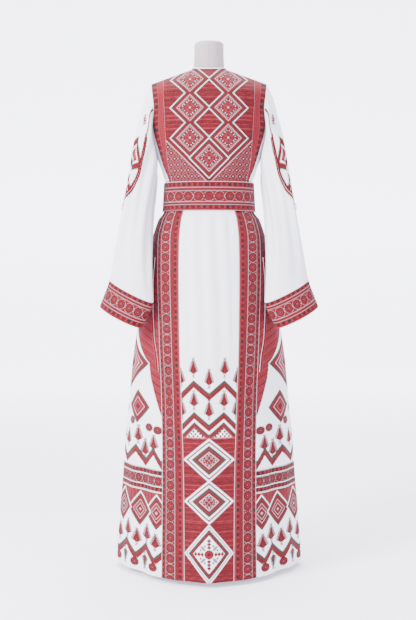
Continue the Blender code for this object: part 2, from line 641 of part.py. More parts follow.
def turned(name, outline, steps, made_of):
    """A solid of revolution about Z from (radius, height) pairs, bottom to top."""
    turn = np.linspace(0, 2 * np.pi, steps, endpoint=False)
    rings = [np.stack([r * np.cos(turn), r * np.sin(turn), np.full(steps, z)], axis=-1) for r, z in outline]
    return tube(name, np.array(rings), made_of)


# Stand: a round pole on a low round base.
turned("stand_pole", [(POLE_RADIUS, BASE_HEIGHT + SEAM_GAP), (POLE_RADIUS, FORM_BOTTOM_Z - SEAM_GAP)],
       20, dark_wood)
turned("stand_base", [(BASE_RADIUS, 0), (BASE_RADIUS, 0.6 * BASE_HEIGHT), (0.9 * BASE_RADIUS, 0.85 * BASE_HEIGHT),
                      (0.25 * BASE_RADIUS, BASE_HEIGHT)], 48, dark_wood)
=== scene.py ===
"""A white thobe with red cross-stitch panels, seen from behind on a limbless dress form."""

import math

import bpy
import numpy as np
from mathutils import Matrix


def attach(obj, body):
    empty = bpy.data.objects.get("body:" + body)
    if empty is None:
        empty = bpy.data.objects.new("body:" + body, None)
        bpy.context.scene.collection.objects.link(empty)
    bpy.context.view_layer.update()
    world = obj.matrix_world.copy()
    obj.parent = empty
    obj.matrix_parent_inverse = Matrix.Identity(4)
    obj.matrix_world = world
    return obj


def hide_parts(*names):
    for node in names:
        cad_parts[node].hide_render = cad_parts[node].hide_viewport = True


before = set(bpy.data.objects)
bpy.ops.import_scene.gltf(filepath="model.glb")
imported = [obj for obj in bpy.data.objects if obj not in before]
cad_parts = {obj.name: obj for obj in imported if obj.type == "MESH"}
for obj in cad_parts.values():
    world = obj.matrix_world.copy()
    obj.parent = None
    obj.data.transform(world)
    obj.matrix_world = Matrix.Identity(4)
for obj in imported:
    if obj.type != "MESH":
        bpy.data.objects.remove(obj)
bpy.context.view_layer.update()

# Camera, floor and light. The camera stands a little under waist height and looks slightly
# down; a pale floor runs up into the backdrop in one curve, as on a studio's paper roll.
CAMERA_PLACE = (-0.003, -3.36, 0.916)
CAMERA_PITCH = 2.46
LENS_MM = 65.0
FLOOR_HALF_WIDTH = 8.0
FLOOR_FRONT_Y = -9.0
BACKDROP_Y = 6.5
BACKDROP_BEND = 1.2
BACKDROP_TOP = 4.0
PAPER_GLOSS = 0.1
STUDIO_GLOW = 1.65


def linear(hex_colour):
    """The linear colour of an sRGB hex value: c / 12.92 below 0.04045, else ((c + 0.055) / 1.055) ^ 2.4."""
    srgb = np.array([int(hex_colour[i:i + 2], 16) / 255 for i in (1, 3, 5)])
    return np.where(srgb > 0.04045, ((srgb + 0.055) / 1.055) ** 2.4, srgb / 12.92)


def node(tree, kind, settings=None, links=None):
    """Adds one shader node: settings are its properties or socket values, links its inputs' sources."""
    made = tree.nodes.new("ShaderNode" + kind)
    for key, value in (settings or {}).items():
        if isinstance(key, str) and hasattr(made, key):
            setattr(made, key, value)
        else:
            made.inputs[key].default_value = value
    for key, source in (links or {}).items():
        tree.links.new(source, made.inputs[key])
    return made


def new_material(name, roughness, sheen=0.0):
    """An empty material with one Principled shader; returns the material, its tree and the shader."""
    made = bpy.data.materials.new(name)
    made.use_nodes = True
    tree = made.node_tree
    shader = tree.nodes["Principled BSDF"]
    shader.inputs["Roughness"].default_value = roughness
    shader.inputs["Sheen Weight"].default_value = sheen
    shader.inputs["Specular IOR Level"].default_value = 0.2
    return made, tree, shader


camera = bpy.data.objects.new("camera", bpy.data.cameras.new("camera"))
camera.data.lens = LENS_MM
camera.data.sensor_width = 36.0
camera.location = CAMERA_PLACE
camera.rotation_euler = (math.radians(90 - CAMERA_PITCH), 0, 0)
bpy.context.scene.collection.objects.link(camera)
bpy.context.scene.camera = camera

bend = np.linspace(0, np.pi / 2, 17)
paper_y = np.r_[FLOOR_FRONT_Y, BACKDROP_Y - BACKDROP_BEND + BACKDROP_BEND * np.sin(bend), BACKDROP_Y]
paper_z = np.r_[0.0, BACKDROP_BEND * (1 - np.cos(bend)), BACKDROP_TOP]
paper = bpy.data.meshes.new("floor")
paper.from_pydata(
    [(x, y, z) for y, z in zip(paper_y, paper_z) for x in (-FLOOR_HALF_WIDTH, FLOOR_HALF_WIDTH)], [],
    [(2 * i, 2 * i + 1, 2 * i + 3, 2 * i + 2) for i in range(len(paper_y) - 1)])
paper.shade_smooth()
floor = bpy.data.objects.new("floor", paper)
bpy.context.scene.collection.objects.link(floor)
paper_white, tree, shader = new_material("studio_paper", 0.9)
shader.inputs["Base Color"].default_value = (*linear("#F3F3F8"), 1)
shader.inputs["Emission Color"].default_value = (*linear("#EBEAFD"), 1)
# The paper glows as painted light: emission 0.7 near the dress, rising to 3.4 on the backdrop.
far = node(tree, "SeparateXYZ", None, {"Vector": node(tree, "TexCoord").outputs["Object"]})
glow = node(tree, "MapRange", {"From Min": 1.0, "From Max": 4.5, "To Min": 0.7, "To Max": 3.4},
            {"Value": far.outputs["Y"]})
tree.links.new(glow.outputs[0], shader.inputs["Emission Strength"])
shader.inputs["Specular IOR Level"].default_value = PAPER_GLOSS
paper.materials.append(paper_white)

world = bpy.data.worlds.new("studio")
world.use_nodes = True
world.node_tree.nodes["Background"].inputs["Color"].default_value = (*linear("#F1F0FB"), 1)
world.node_tree.nodes["Background"].inputs["Strength"].default_value = STUDIO_GLOW
bpy.context.scene.world = world


def soft_light(name, place, aim, size, watts):
    """A square soft box of light at place, turned to face aim."""
    lamp = bpy.data.lights.new(name, "AREA")
    lamp.size = size
    lamp.energy = watts
    made = bpy.data.objects.new(name, lamp)
    made.location = place
    way = np.array(aim) - np.array(place)
    flat = math.hypot(way[0], way[1])
    made.rotation_euler = (math.atan2(flat, -way[2]), 0, math.atan2(-way[0], way[1]))
    bpy.context.scene.collection.objects.link(made)


soft_light("key_light", (-2.7, -2.4, 2.6), (0, 0, 0.8), 1.4, 430)
soft_light("fill_light", (2.6, -2.6, 1.6), (0, 0, 0.8), 2.2, 90)
soft_light("top_light", (0, 0.4, 3.6), (0, 0, 1.0), 2.2, 230)


# Stand: a turned wooden base with a round pole, hidden by the hem. Beech stained dark and
# given a satin lacquer: fine darker grain runs along the pole and across the base.
GRAIN_MM = 3.0


def finish_node(name, finish):
    """Gives a CAD node that stays its finish."""
    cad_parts[name].data.materials.clear()
    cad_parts[name].data.materials.append(finish)


stained_beech, tree, shader = new_material("stained_beech", 0.42)
place = node(tree, "TexCoord").outputs["Object"]
grain = node(tree, "TexNoise", {"Scale": 1000 / GRAIN_MM / 6, "Detail": 6.0}, {
    "Vector": node(tree, "Mapping", {"Scale": (3, 3, 0.3)}, {"Vector": place}).outputs[0]})
ramp = node(tree, "ValToRGB", None, {"Fac": grain.outputs["Fac"]})
ramp.color_ramp.elements[0].color = (*linear("#20130C"), 1)
ramp.color_ramp.elements[1].color = (*linear("#4C3324"), 1)
tree.links.new(ramp.outputs[0], shader.inputs["Base Color"])
bump = node(tree, "Bump", {"Strength": 0.15, "Distance": 0.0003}, {"Height": grain.outputs["Fac"]})
tree.links.new(bump.outputs[0], shader.inputs["Normal"])
for wooden in ("stand_base", "stand_pole"):
    finish_node(wooden, stained_beech)

# Dress form: a padded torso under a tight pale grey jersey cover, with a flat neck cap.
# Knitted cotton with a fine vertical seam up the middle of the neck.
KNIT_MM = 1.6

form_jersey, tree, shader = new_material("form_jersey", 0.72, 0.25)
place = node(tree, "TexCoord").outputs["Object"]
knit = node(tree, "TexWave", {"Scale": 1000 / KNIT_MM / 6.28, "Distortion": 1.5, "Detail": 1.0,
                                        "bands_direction": "Z"}, {"Vector": place})
tone = node(tree, "TexNoise", {"Scale": 14.0, "Detail": 4.0}, {"Vector": place})
ramp = node(tree, "ValToRGB", None, {"Fac": tone.outputs["Fac"]})
ramp.color_ramp.elements[0].color = (*linear("#9A8E92"), 1)
ramp.color_ramp.elements[1].color = (*linear("#B5A9AC"), 1)
across = node(tree, "SeparateXYZ", None, {"Vector": place}).outputs["X"]
off_seam = node(tree, "Math", {"operation": "ABSOLUTE"}, {0: across}).outputs[0]
seam = node(tree, "MapRange", {"From Min": 0.0006, "From Max": 0.0018, "To Min": 0.78, "To Max": 1.0},
            {"Value": off_seam})
shaded = node(tree, "Mix", {"data_type": "RGBA", "blend_type": "MULTIPLY", 0: 1.0})
tree.links.new(ramp.outputs[0], shaded.inputs[6])
tree.links.new(seam.outputs[0], shaded.inputs[7])
tree.links.new(shaded.outputs[2], shader.inputs["Base Color"])
bump = node(tree, "Bump", {"Strength": 0.2, "Distance": 0.0004}, {"Height": knit.outputs["Fac"]})
tree.links.new(bump.outputs[0], shader.inputs["Normal"])
finish_node("form_torso", form_jersey)


# Skirt: a white centre panel front and back, an embroidered band down each of its edges and
# a wide gore round each side. Cotton worked in counted cross-stitch; the panels are cut
# straight, sewn edge to edge, and gathered slightly into the waist under the belt.
SEAM_GAP = 0.0003
CLOTH = 0.0018
HEM_Z = 0.015
WAIST_Z = 1.108
BELT_BOTTOM_Z = 1.066
CORNER_EASE = 0.016
OUTLINE_STEPS = 360
STITCH = 0.0028
RIM_ANGLE = 0.9
ROUND_FOLD = 0.0024
GATHER = 0.0020
GATHER_PITCH = 0.040
LONG_FOLD = 0.0022
LONG_FOLD_PITCH = 0.047
CENTRE_HALF = 0.074
CENTRE_FADE = 0.014
SKIRT = np.array([
    (0.015, 0.280, 0.252, 2.00, 1.05), (0.142, 0.272, 0.240, 2.00, 1.08), (0.262, 0.261, 0.228, 2.00, 1.15),
    (0.382, 0.252, 0.217, 2.00, 1.25), (0.502, 0.240, 0.206, 2.00, 1.40), (0.622, 0.229, 0.195, 2.00, 1.55),
    (0.712, 0.216, 0.184, 2.00, 1.65), (0.800, 0.203, 0.170, 2.05, 1.80), (0.920, 0.184, 0.150, 2.10, 1.95),
    (0.982, 0.171, 0.136, 2.15, 2.05), (1.012, 0.162, 0.126, 2.20, 2.15), (1.042, 0.151, 0.114, 2.25, 2.20),
    (1.066, 0.1345, 0.1015, 2.30, 2.30), (1.108, 0.1315, 0.1005, 2.30, 2.30),
])
SKIRT_BAND = np.array([
    (0.015, 0.070, 0.136), (0.300, 0.072, 0.134), (0.500, 0.078, 0.136), (0.700, 0.084, 0.144),
    (0.900, 0.086, 0.151), (0.980, 0.085, 0.150), (1.042, 0.079, 0.136), (1.066, 0.0735, 0.124),
    (1.108, 0.0715, 0.121),
])
SIDES = (("left", -1), ("right", 1))

WHITE = linear("#EFEFF8")
LINEN = linear("#E7E4EA")
PINK = linear("#8C2A37")
RED = linear("#5C0410")
BRIGHT = linear("#400003")
GREY_GREEN = linear("#382D29")
MAROON = linear("#1A0104")


def smooth(rows, at):
    """Columns 1.. of a table at positions of column 0, by cubics whose slopes never overshoot."""
    x, y = rows[:, 0], rows[:, 1:]
    at = np.clip(at, x[0], x[-1])
    step = np.diff(x)
    slope = np.diff(y, axis=0) / step[:, None]
    product = slope[1:] * slope[:-1]
    inner = np.where(product > 0, 2 * product / np.where(product > 0, slope[1:] + slope[:-1], 1), 0)
    tangent = np.vstack([slope[:1], inner, slope[-1:]])
    i = np.clip(np.searchsorted(x, at, side="right") - 1, 0, len(x) - 2)
    h = step[i]
    t = (at - x[i]) / h
    return [y[i, k] * (1 + 2 * t) * (1 - t) ** 2 + y[i + 1, k] * t * t * (3 - 2 * t)
            + h * tangent[i, k] * t * (1 - t) ** 2 - h * tangent[i + 1, k] * t * t * (1 - t)
            for k in range(y.shape[1])]


def power(value, exponent):
    """The value's size to a power, with its sign kept."""
    return np.sign(value) * np.abs(value) ** exponent


def unit(vectors):
    """Each vector over its own length."""
    return vectors / np.maximum(np.linalg.norm(vectors, axis=-1, keepdims=True), 1e-12)


def cloth_piece(name, points, thickness, finish, inks=None, around=False, coarse=4, kept=None):
    """A thin closed cloth from a grid of outer points: rows by columns, row counts one over a
    multiple of coarse. Outer face = the grid; inner face = every coarse-th point minus normal x
    thickness; many-sided strips close the rim. inks = one colour for each outer cell. kept marks
    the cells of a whole grid (coarse 1) that aren't cut away."""
    rows, columns = points.shape[:2]
    if around:
        along = np.roll(points, -1, axis=1) - np.roll(points, 1, axis=1)
        core = points.mean(axis=1, keepdims=True)
    else:
        along = np.gradient(points, axis=1)
        core = points * [0, 0, 1]
    normal = unit(np.cross(along, np.gradient(points, axis=0)))
    outward = 1 if (normal * (points - core)).sum() > 0 else -1
    inner = thickness if isinstance(thickness, np.ndarray) else points - outward * normal * thickness
    inner = inner[::coarse, ::coarse]
    in_rows, in_columns = inner.shape[:2]
    wide, in_wide = (columns, in_columns) if around else (columns - 1, in_columns - 1)
    start = rows * columns

    def cells(count_rows, count_wide, count_columns, offset):
        """Four corners for each cell of a grid, wrapped across where the cloth closes on itself."""
        i, j = np.meshgrid(np.arange(count_rows - 1), np.arange(count_wide), indexing="ij")
        k = (j + 1) % count_columns
        return offset + np.stack([i * count_columns + j, i * count_columns + k,
                                  (i + 1) * count_columns + k, (i + 1) * count_columns + j], axis=-1)

    def rim(outer_line, inner_line):
        """Strips between an outer border line and the inner border line beside it."""
        first = coarse * np.arange(len(inner_line) - 1)[:, None] + np.arange(coarse, -1, -1)
        return np.hstack([outer_line[first], inner_line[:-1, None], inner_line[1:, None]]).tolist()

    out_cells = cells(rows, wide, columns, 0)
    in_cells = cells(in_rows, in_wide, in_columns, start)[..., ::-1]
    mask = np.ones(out_cells.shape[:2], bool) if kept is None else kept
    in_mask = np.ones(in_cells.shape[:2], bool) if kept is None else kept
    faces = out_cells[mask].tolist() + in_cells[in_mask].tolist()
    if kept is None:
        out_index = np.arange(start).reshape(rows, columns)
        in_index = start + np.arange(in_rows * in_columns).reshape(in_rows, in_columns)
        if around:
            out_index = np.concatenate([out_index, out_index[:, :1]], axis=1)
            in_index = np.concatenate([in_index, in_index[:, :1]], axis=1)
        faces += rim(out_index[0], in_index[0]) + rim(out_index[-1][::-1], in_index[-1][::-1])
        if not around:
            faces += rim(out_index[::-1, 0], in_index[::-1, 0]) + rim(out_index[:, -1], in_index[:, -1])
    else:
        border = np.pad(mask, 1)
        for (di, dj), (a, b) in {(-1, 0): (0, 1), (0, 1): (1, 2), (1, 0): (2, 3), (0, -1): (3, 0)}.items():
            bare = mask & ~border[1 + di:1 + di + mask.shape[0], 1 + dj:1 + dj + mask.shape[1]]
            one, two = out_cells[bare][:, a], out_cells[bare][:, b]
            faces += np.stack([two, one, one + start, two + start], axis=-1).tolist()
    all_points = np.concatenate([points.reshape(-1, 3), inner.reshape(-1, 3)])
    if kept is not None:
        used, index = np.unique(np.array(faces), return_inverse=True)
        all_points, faces = all_points[used], index.reshape(-1, 4).tolist()
    if outward < 0:
        faces = [face[::-1] for face in faces]
    mesh = bpy.data.meshes.new(name)
    mesh.from_pydata(all_points.tolist(), [], faces)
    corner_count = len(mesh.loops)
    colours = np.ones((corner_count, 4))
    colours[:, :3] = LINEN
    shown = int(mask.sum())
    if inks is not None:
        colours[:4 * shown, :3] = np.repeat(inks[mask].reshape(-1, 3), 4, axis=0)
    layer = mesh.color_attributes.new(name="thread", type="FLOAT_COLOR", domain="CORNER")
    layer.data.foreach_set("color", colours.ravel())
    across = np.cumsum(np.linalg.norm(np.diff(points, axis=1, prepend=points[:, :1]), axis=-1), axis=1)
    down = np.cumsum(np.linalg.norm(np.diff(points, axis=0, prepend=points[:1]), axis=-1), axis=0)
    flat = np.stack([across, down], axis=-1)
    flat = np.concatenate([flat.reshape(-1, 2), flat[::coarse, ::coarse].reshape(-1, 2)])
    if kept is not None:
        flat = flat[used]
    corner_vertex = np.empty(corner_count, int)
    mesh.loops.foreach_get("vertex_index", corner_vertex)
    mesh.uv_layers.new(name="flat").data.foreach_set("uv", flat[corner_vertex].ravel())
    mesh.shade_smooth()
    mesh.set_sharp_from_angle(angle=RIM_ANGLE)
    mesh.materials.append(finish)
    made = bpy.data.objects.new(name, mesh)
    bpy.context.scene.collection.objects.link(made)
    return made


def section(half_width, half_depth, power_across, power_deep):
    """One level of the skirt: x = half width x sin^(2/p), y = -half depth x cos^(2/q), with its
    corners eased by a Gaussian blur; returned at even steps of girth, with the whole girth."""
    turn = np.linspace(0, 2 * np.pi, OUTLINE_STEPS + 1)
    x = half_width * power(np.sin(turn), 2 / power_across)
    y = -half_depth * power(np.cos(turn), 2 / power_deep)
    girth = np.r_[0, np.cumsum(np.hypot(np.diff(x), np.diff(y)))]
    even = np.linspace(0, girth[-1], OUTLINE_STEPS, endpoint=False)
    outline = np.interp(even, girth, x) + 1j * np.interp(even, girth, y)
    frequency = np.fft.fftfreq(OUTLINE_STEPS, girth[-1] / OUTLINE_STEPS)
    outline = np.fft.ifft(np.fft.fft(outline) * np.exp(-2 * (np.pi * CORNER_EASE * frequency) ** 2))
    x = outline.real * half_width / np.abs(outline.real).max()
    y = outline.imag * half_depth / np.abs(outline.imag).max()
    x, y = np.r_[x, x[0]], np.r_[y, y[0]]
    girth = np.r_[0, np.cumsum(np.hypot(np.diff(x), np.diff(y)))]
    even = np.linspace(0, girth[-1], OUTLINE_STEPS + 1)
    return np.interp(even, girth, x), np.interp(even, girth, y), girth[-1]


level_z = np.linspace(HEM_Z, WAIST_Z, 260)
levels = [section(*row) for row in np.stack(smooth(SKIRT, level_z), axis=-1)]
level_x, level_y = np.array([row[0] for row in levels]), np.array([row[1] for row in levels])
level_girth = np.array([row[2] for row in levels])


def girth_at(edge_table_column, front=False):
    """At each level, the girth distance from the middle of the back, or front, to a band's edge."""
    found = []
    for x, whole, edge in zip(level_x, level_girth, smooth(SKIRT_BAND, level_z)[edge_table_column]):
        side = int(np.argmax(x))
        s = np.interp(edge, x[:side + 1], np.linspace(0, whole, OUTLINE_STEPS + 1)[:side + 1])
        found.append(whole / 2 - s if front else s)
    return np.array(found)


def skirt_level(s, z):
    """Points of the unfolded skirt, by straight interpolation between levels and between outline points."""
    whole = np.interp(z, level_z, level_girth)
    column = np.mod(s / whole, 1) * OUTLINE_STEPS
    row = np.clip((z - HEM_Z) / (WAIST_Z - HEM_Z), 0, 1) * (len(level_z) - 1)
    i = np.minimum(row.astype(int), len(level_z) - 2)
    j = np.minimum(column.astype(int), OUTLINE_STEPS - 1)
    p, q = row - i, column - j
    flat = [(a[i, j] * (1 - q) + a[i, j + 1] * q) * (1 - p)
            + (a[i + 1, j] * (1 - q) + a[i + 1, j + 1] * q) * p for a in (level_x, level_y)]
    return np.stack([flat[0], flat[1], z], axis=-1), whole


def skirt_points(s, z, lift=0.0):
    """The skirt's outer face: the level outline plus, along its normal, 10 and 16 soft folds round
    that deepen to the hem, and on the centre panels gathers under the belt and long folds below."""
    near = 0.002
    points, whole = skirt_level(s, z)
    along = skirt_level(s + near, z)[0] - skirt_level(s - near, z)[0]
    z_mid = np.clip(z, HEM_Z + near, WAIST_Z - near)
    up = skirt_level(s, z_mid + near)[0] - skirt_level(s, z_mid - near)[0]
    turn = 2 * np.pi * s / whole
    fall = np.clip((0.98 - z) / 0.9, 0, 1)
    folds = fall * (ROUND_FOLD * np.cos(10 * turn) + GATHER * np.cos(16 * turn))
    centre = np.clip((CENTRE_HALF - np.abs(s)) / CENTRE_FADE, 0, 1)
    below_belt = np.clip((1.058 - z) / 0.016, 0, 1) * np.exp(-(((z - 1.045) / 0.05) ** 2))
    folds = folds + GATHER * centre * below_belt * np.cos(2 * np.pi * s / GATHER_PITCH)
    hanging = np.clip((z - 0.45) / 0.3, 0, 1) * np.clip((1.05 - z) / 0.04, 0, 1)
    sway = s + 0.012 * np.cos(5 * z)
    folds = folds + LONG_FOLD * centre * hanging * np.cos(2 * np.pi * sway / LONG_FOLD_PITCH)
    outer = points + unit(np.cross(along, up)) * (lift + folds)[..., None]
    outer[..., 2] = z
    return outer


def skirt_grid(start, stop, columns, rows):
    """Points, and the share across and height of each cell's centre, between two girth distances."""
    z = WAIST_Z + (HEM_Z - WAIST_Z) * np.linspace(0, 1, rows + 1)[:, None]
    share = np.linspace(0, 1, columns + 1)[None, :]
    low = np.interp(z, level_z, start) + SEAM_GAP / 2
    high = np.interp(z, level_z, stop) - SEAM_GAP / 2
    s = low * (1 - share) + high * share
    z = z + 0 * s
    middle = (share[:, 1:] + share[:, :-1]) / 2 + 0 * z[1:, 1:]
    return skirt_points(s, z), middle, 100 * (z[1:, 1:] + z[:-1, 1:]) / 2


# Stitching, in centimetres on the flat cloth: x across, z the height over the floor. White, two
# reds, pink, maroon and grey-green cotton, each motif laid over what was worked before it.
STITCH_SOFT = 0.22
FINE_SOFT = 0.15
BLOCK_PITCH = 1.7
BLOCK_HALF = 0.56
MOTTLE = 0.28
BAND_WIDTH = 6.4
BAND_PITCH = 2.95
DISC_PITCH = 2.9
PEAK_PLACE = 0.54
MEDALLION = 1.7


def within(distance, soft=STITCH_SOFT):
    """1 where a distance is positive and 0 where it is negative, one stitch soft."""
    return np.clip(distance / soft + 0.5, 0, 1)[..., None]


def between(value, low, high, soft=STITCH_SOFT):
    """1 between two values and 0 outside them, one stitch soft."""
    return within(value - low, soft) * within(high - value, soft)


def mix(one, other, share):
    """one + share x (other - one): share 0 is the one ink, 1 the other."""
    return one + share * (other - one)


def lay(ground, *threads):
    """Threads laid over a ground in turn, each given as its mask, 0 to 1, and its ink."""
    for where, ink in threads:
        ground = mix(ground, ink, where)
    return ground


def wave(at, length):
    """cos(2 pi at / length)."""
    return np.cos(2 * np.pi * at / length)


def off_repeat(at, pitch):
    """The distance from the middle of a repeat: |at mod pitch - pitch / 2|."""
    return np.abs(np.mod(at, pitch) - pitch / 2)


def block_row(ground, across, low, high, along):
    """A red stripe with dashes a pitch apart: one in four dark grey, one maroon, two deep red."""
    place = np.mod(along / BLOCK_PITCH, 4)[..., None]
    block = np.where(place < 1, 0.35 * GREY_GREEN, np.where(place < 2, 0.5 * (MAROON + BRIGHT), BRIGHT))
    step = off_repeat(along / BLOCK_PITCH, 1) * BLOCK_PITCH
    ink = lay(mix(RED, PINK, 0.35) + 0 * block, (within(BLOCK_HALF - step, 0.2), block))
    return lay(ground, (between(across, low, high), ink))


def mottled(ground):
    """Uneven stitching: every red cell lets a random share of the pale ground thread through."""
    share = np.random.default_rng(7).random(ground.shape[:2])[..., None] ** 2
    stitched = (ground[..., 1:2] < 0.25) & (ground[..., :1] > 3 * ground[..., 1:2])
    return mix(ground, PINK, stitched * MOTTLE * share)


def ringed_flower(ground, a, b, pitch):
    """A round flower: a faint white line at 0.475 of the pitch, a deep red disc to 0.425, a paler
    heart to 0.31 with eight deep red petals, r = 0.25 pitch (0.62 + 0.38 cos 8 turn), and a dot."""
    r, turn = np.hypot(a, b), np.arctan2(b, a)
    petals = within(0.25 * pitch * (0.62 + 0.38 * np.cos(8 * turn)) - r, 0.2)
    return lay(ground, (0.3 * within(0.03 - np.abs(r - 0.475 * pitch), 0.14), WHITE),
               (within(0.425 * pitch - r), BRIGHT), (0.8 * within(0.31 * pitch - r), mix(RED, PINK, 0.25)),
               (0.8 * petals, BRIGHT), (0.12 * within(0.05 * pitch - r), WHITE))


def paint_band(u, z):
    """The long band: edge, blocks, ribs, ringed flowers, ribs, blocks, edge, from the inner edge out."""
    x = u * BAND_WIDTH
    ribs = (0.5 + 0.5 * wave(z, 0.56) * wave(x, 1.1))[..., None]
    ground = BRIGHT + (RED - BRIGHT) * ribs + 0.25 * (PINK - RED) * (1 - ribs)
    ground = lay(ground, (within(0.1 * BAND_WIDTH - x), mix(RED, PINK, 0.5)))
    for low, high, shift in ((0.11, 0.215, 0), (0.875, 0.965, 0.5)):
        ground = block_row(ground, x, low * BAND_WIDTH, high * BAND_WIDTH, z + shift)
    for low, high, pale in ((-0.1, 0.015, 0.5), (0.376, 0.390, 0.42), (0.790, 0.804, 0.42),
                            (0.985, 1.1, 0.5)):
        ground = lay(ground, (pale * between(x, low * BAND_WIDTH, high * BAND_WIDTH, FINE_SOFT), WHITE))
    flower = ringed_flower(RED + 0 * ground, x - 0.59 * BAND_WIDTH, np.mod(z, BAND_PITCH) - BAND_PITCH / 2,
                           BAND_PITCH)
    return mottled(lay(ground, (between(x, 0.396 * BAND_WIDTH, 0.784 * BAND_WIDTH, FINE_SOFT), flower)))


def peaks(u, valley_z, peak_z):
    """A zigzag's height: valleys at the panel's middle and edges, straight slopes to two peaks."""
    u = np.abs(u)
    climb = np.where(u < PEAK_PLACE, u / PEAK_PLACE, (1 - u) / (1 - PEAK_PLACE))
    return valley_z + (peak_z - valley_z) * climb


def cypress(ground, x, z, foot, tip, half_width, ink=RED):
    """A stitched cypress between foot and tip: a kite, widest at a third of its height, solid in its
    core and feathered by upward-slanting dashes outside, a crown of spikes and a small root."""
    tall = abs(tip - foot)
    up = (z - foot) / (tip - foot)
    wide = np.abs(x)
    body = between(up, 0.16, 0.93, 0.03)
    crown = between(up, 0.90, 1.0, 0.02)
    kite = half_width * np.interp(up, (0.13, 0.15, 0.34, 0.80, 0.92, 0.94), (-1, 0, 1, 0.45, 0.1, -1))
    core = half_width * np.interp(up, (0.13, 0.15, 0.33, 0.6, 0.85, 0.88), (-1, 0, 0.64, 0.30, 0.10, -1))
    dashes = within(0.18 - off_repeat(up * tall - 0.8 * wide, 0.59), 0.12)
    spikes = within(0.12 - off_repeat(wide, 0.46), 0.12) * within(0.5 - wide)
    root = within(0.16 - np.abs(wide - 0.8 * np.abs(up - 0.07) * tall), 0.14) * between(up, -0.02, 0.16, 0.03)
    leaves = within(kite - wide, 0.12)
    pale = mix(ink, WHITE, 0.22)
    return lay(ground, (0.7 * leaves * body, pale), (0.6 * within(0.5 - wide) * crown, pale),
               (leaves * dashes * body, ink), (np.maximum(spikes * crown, root), ink),
               (within(core - wide, 0.12), 0.5 * (ink + np.minimum(ink, BRIGHT))),
               (0.5 * within(0.07 - wide, 0.12) * between(up, 0.2, 0.42, 0.04), PINK))


def grove(ground, share, width, z, trees, half_width=1.5, ink=RED):
    """Cypresses at shares of a width, each with the height of its foot and tip."""
    for place, foot, tip in trees:
        ground = cypress(ground, (share - place) * width, z, foot, tip, half_width, ink)
    return ground


def discs(ground, share, width, z, places):
    """Ringed discs at shares of a width and heights."""
    for place, middle in places:
        ground = ringed_flower(ground, (share - place) * width, z - middle, DISC_PITCH)
    return ground


def zigzag_line(ground, below, edges, inks):
    """Bands of thread under a zigzag: below is the drop from its top edge, edges its borders. A red
    or grey band runs on under the next ones, so no ground shows between them."""
    for low, high, ink in zip(edges[:-1], edges[1:], inks):
        ground = lay(ground, (between(below, low, high if ink is WHITE else edges[-1], 0.16), ink))
    return ground


def striped_brocade(x, z):
    """Horizontal stripes of red, deep red and grey-pink, uneven in height and lightly broken up."""
    rise = wave(z, 1.3) + 0.7 * np.cos(2 * np.pi * z / 0.62 + 1) + 0.5 * wave(z, 3.1)
    fine = 0.2 * np.sin(2.1 * x + 5 * np.sin(1.3 * z))
    ground = mix(RED, BRIGHT, np.clip(0.5 + 0.5 * (rise + fine), 0, 1)[..., None])
    return lay(ground, (0.7 * np.clip(rise - 0.6 + fine, 0, 1)[..., None], PINK),
               (0.8 * np.clip(-rise - 0.5 + fine, 0, 1)[..., None], MAROON))


def nested_diamond(ground, reach, size, borders):
    """A diamond of nested frames: borders lists (outer reach, ink) from the edge in."""
    return lay(ground, *((within((outer - reach) * size), ink) for outer, ink in borders))


def knotted_cross(ground, x, z):
    """A small stitched medallion: a four-petalled star and, round it, a ring of white dots."""
    r, turn = np.hypot(x, z), np.arctan2(z, x)
    star = MEDALLION * (0.58 + 0.18 * np.cos(4 * turn))
    ring = np.abs(x) * 0.78 + np.abs(z)
    dots = within(0.16 - off_repeat(x + 0.45, 0.9), 0.2)
    dots = dots * between(ring, 0.90 * MEDALLION, 1.06 * MEDALLION, 0.2)
    return lay(ground, (0.6 * dots, WHITE), (0.45 * between(r, star - 0.04, star + 0.06, 0.2), WHITE),
               (within(star - 0.12 - r), BRIGHT),
               (0.8 * between(r, 0.22 * MEDALLION, 0.34 * MEDALLION, 0.2), PINK),
               (0.4 * within(0.08 * MEDALLION - r), WHITE))


def leafy_cross(ground, x, z):
    """The hem's large medallion: a ringed red heart, four arms of beads and four grey-green leaves."""
    r = np.hypot(x, z)
    near, far = np.minimum(np.abs(x), np.abs(z)), np.maximum(np.abs(x), np.abs(z))
    beads = within(0.42 + 0.22 * wave(far, 0.95) - near, 0.16) * within(4.4 - far)
    along, off = (np.abs(x) + np.abs(z)) / 1.414 - 2.35, (np.abs(x) - np.abs(z)) / 1.414
    leaf = within(0.42 * (1 - np.hypot(along / 0.95, off / 0.42)), 0.16)
    bud = within(0.3 * (1 - np.hypot((along - 0.15) / 0.3, (np.abs(off) - 0.85) / 0.3)), 0.16)
    return lay(ground, (beads, RED), (0.85 * leaf, GREY_GREEN), (bud, RED), (within(1.5 - r), WHITE),
               (within(1.32 - r), RED), (0.7 * between(r, 0.62, 0.78, 0.16), PINK),
               (within(0.42 - r, 0.16), BRIGHT))


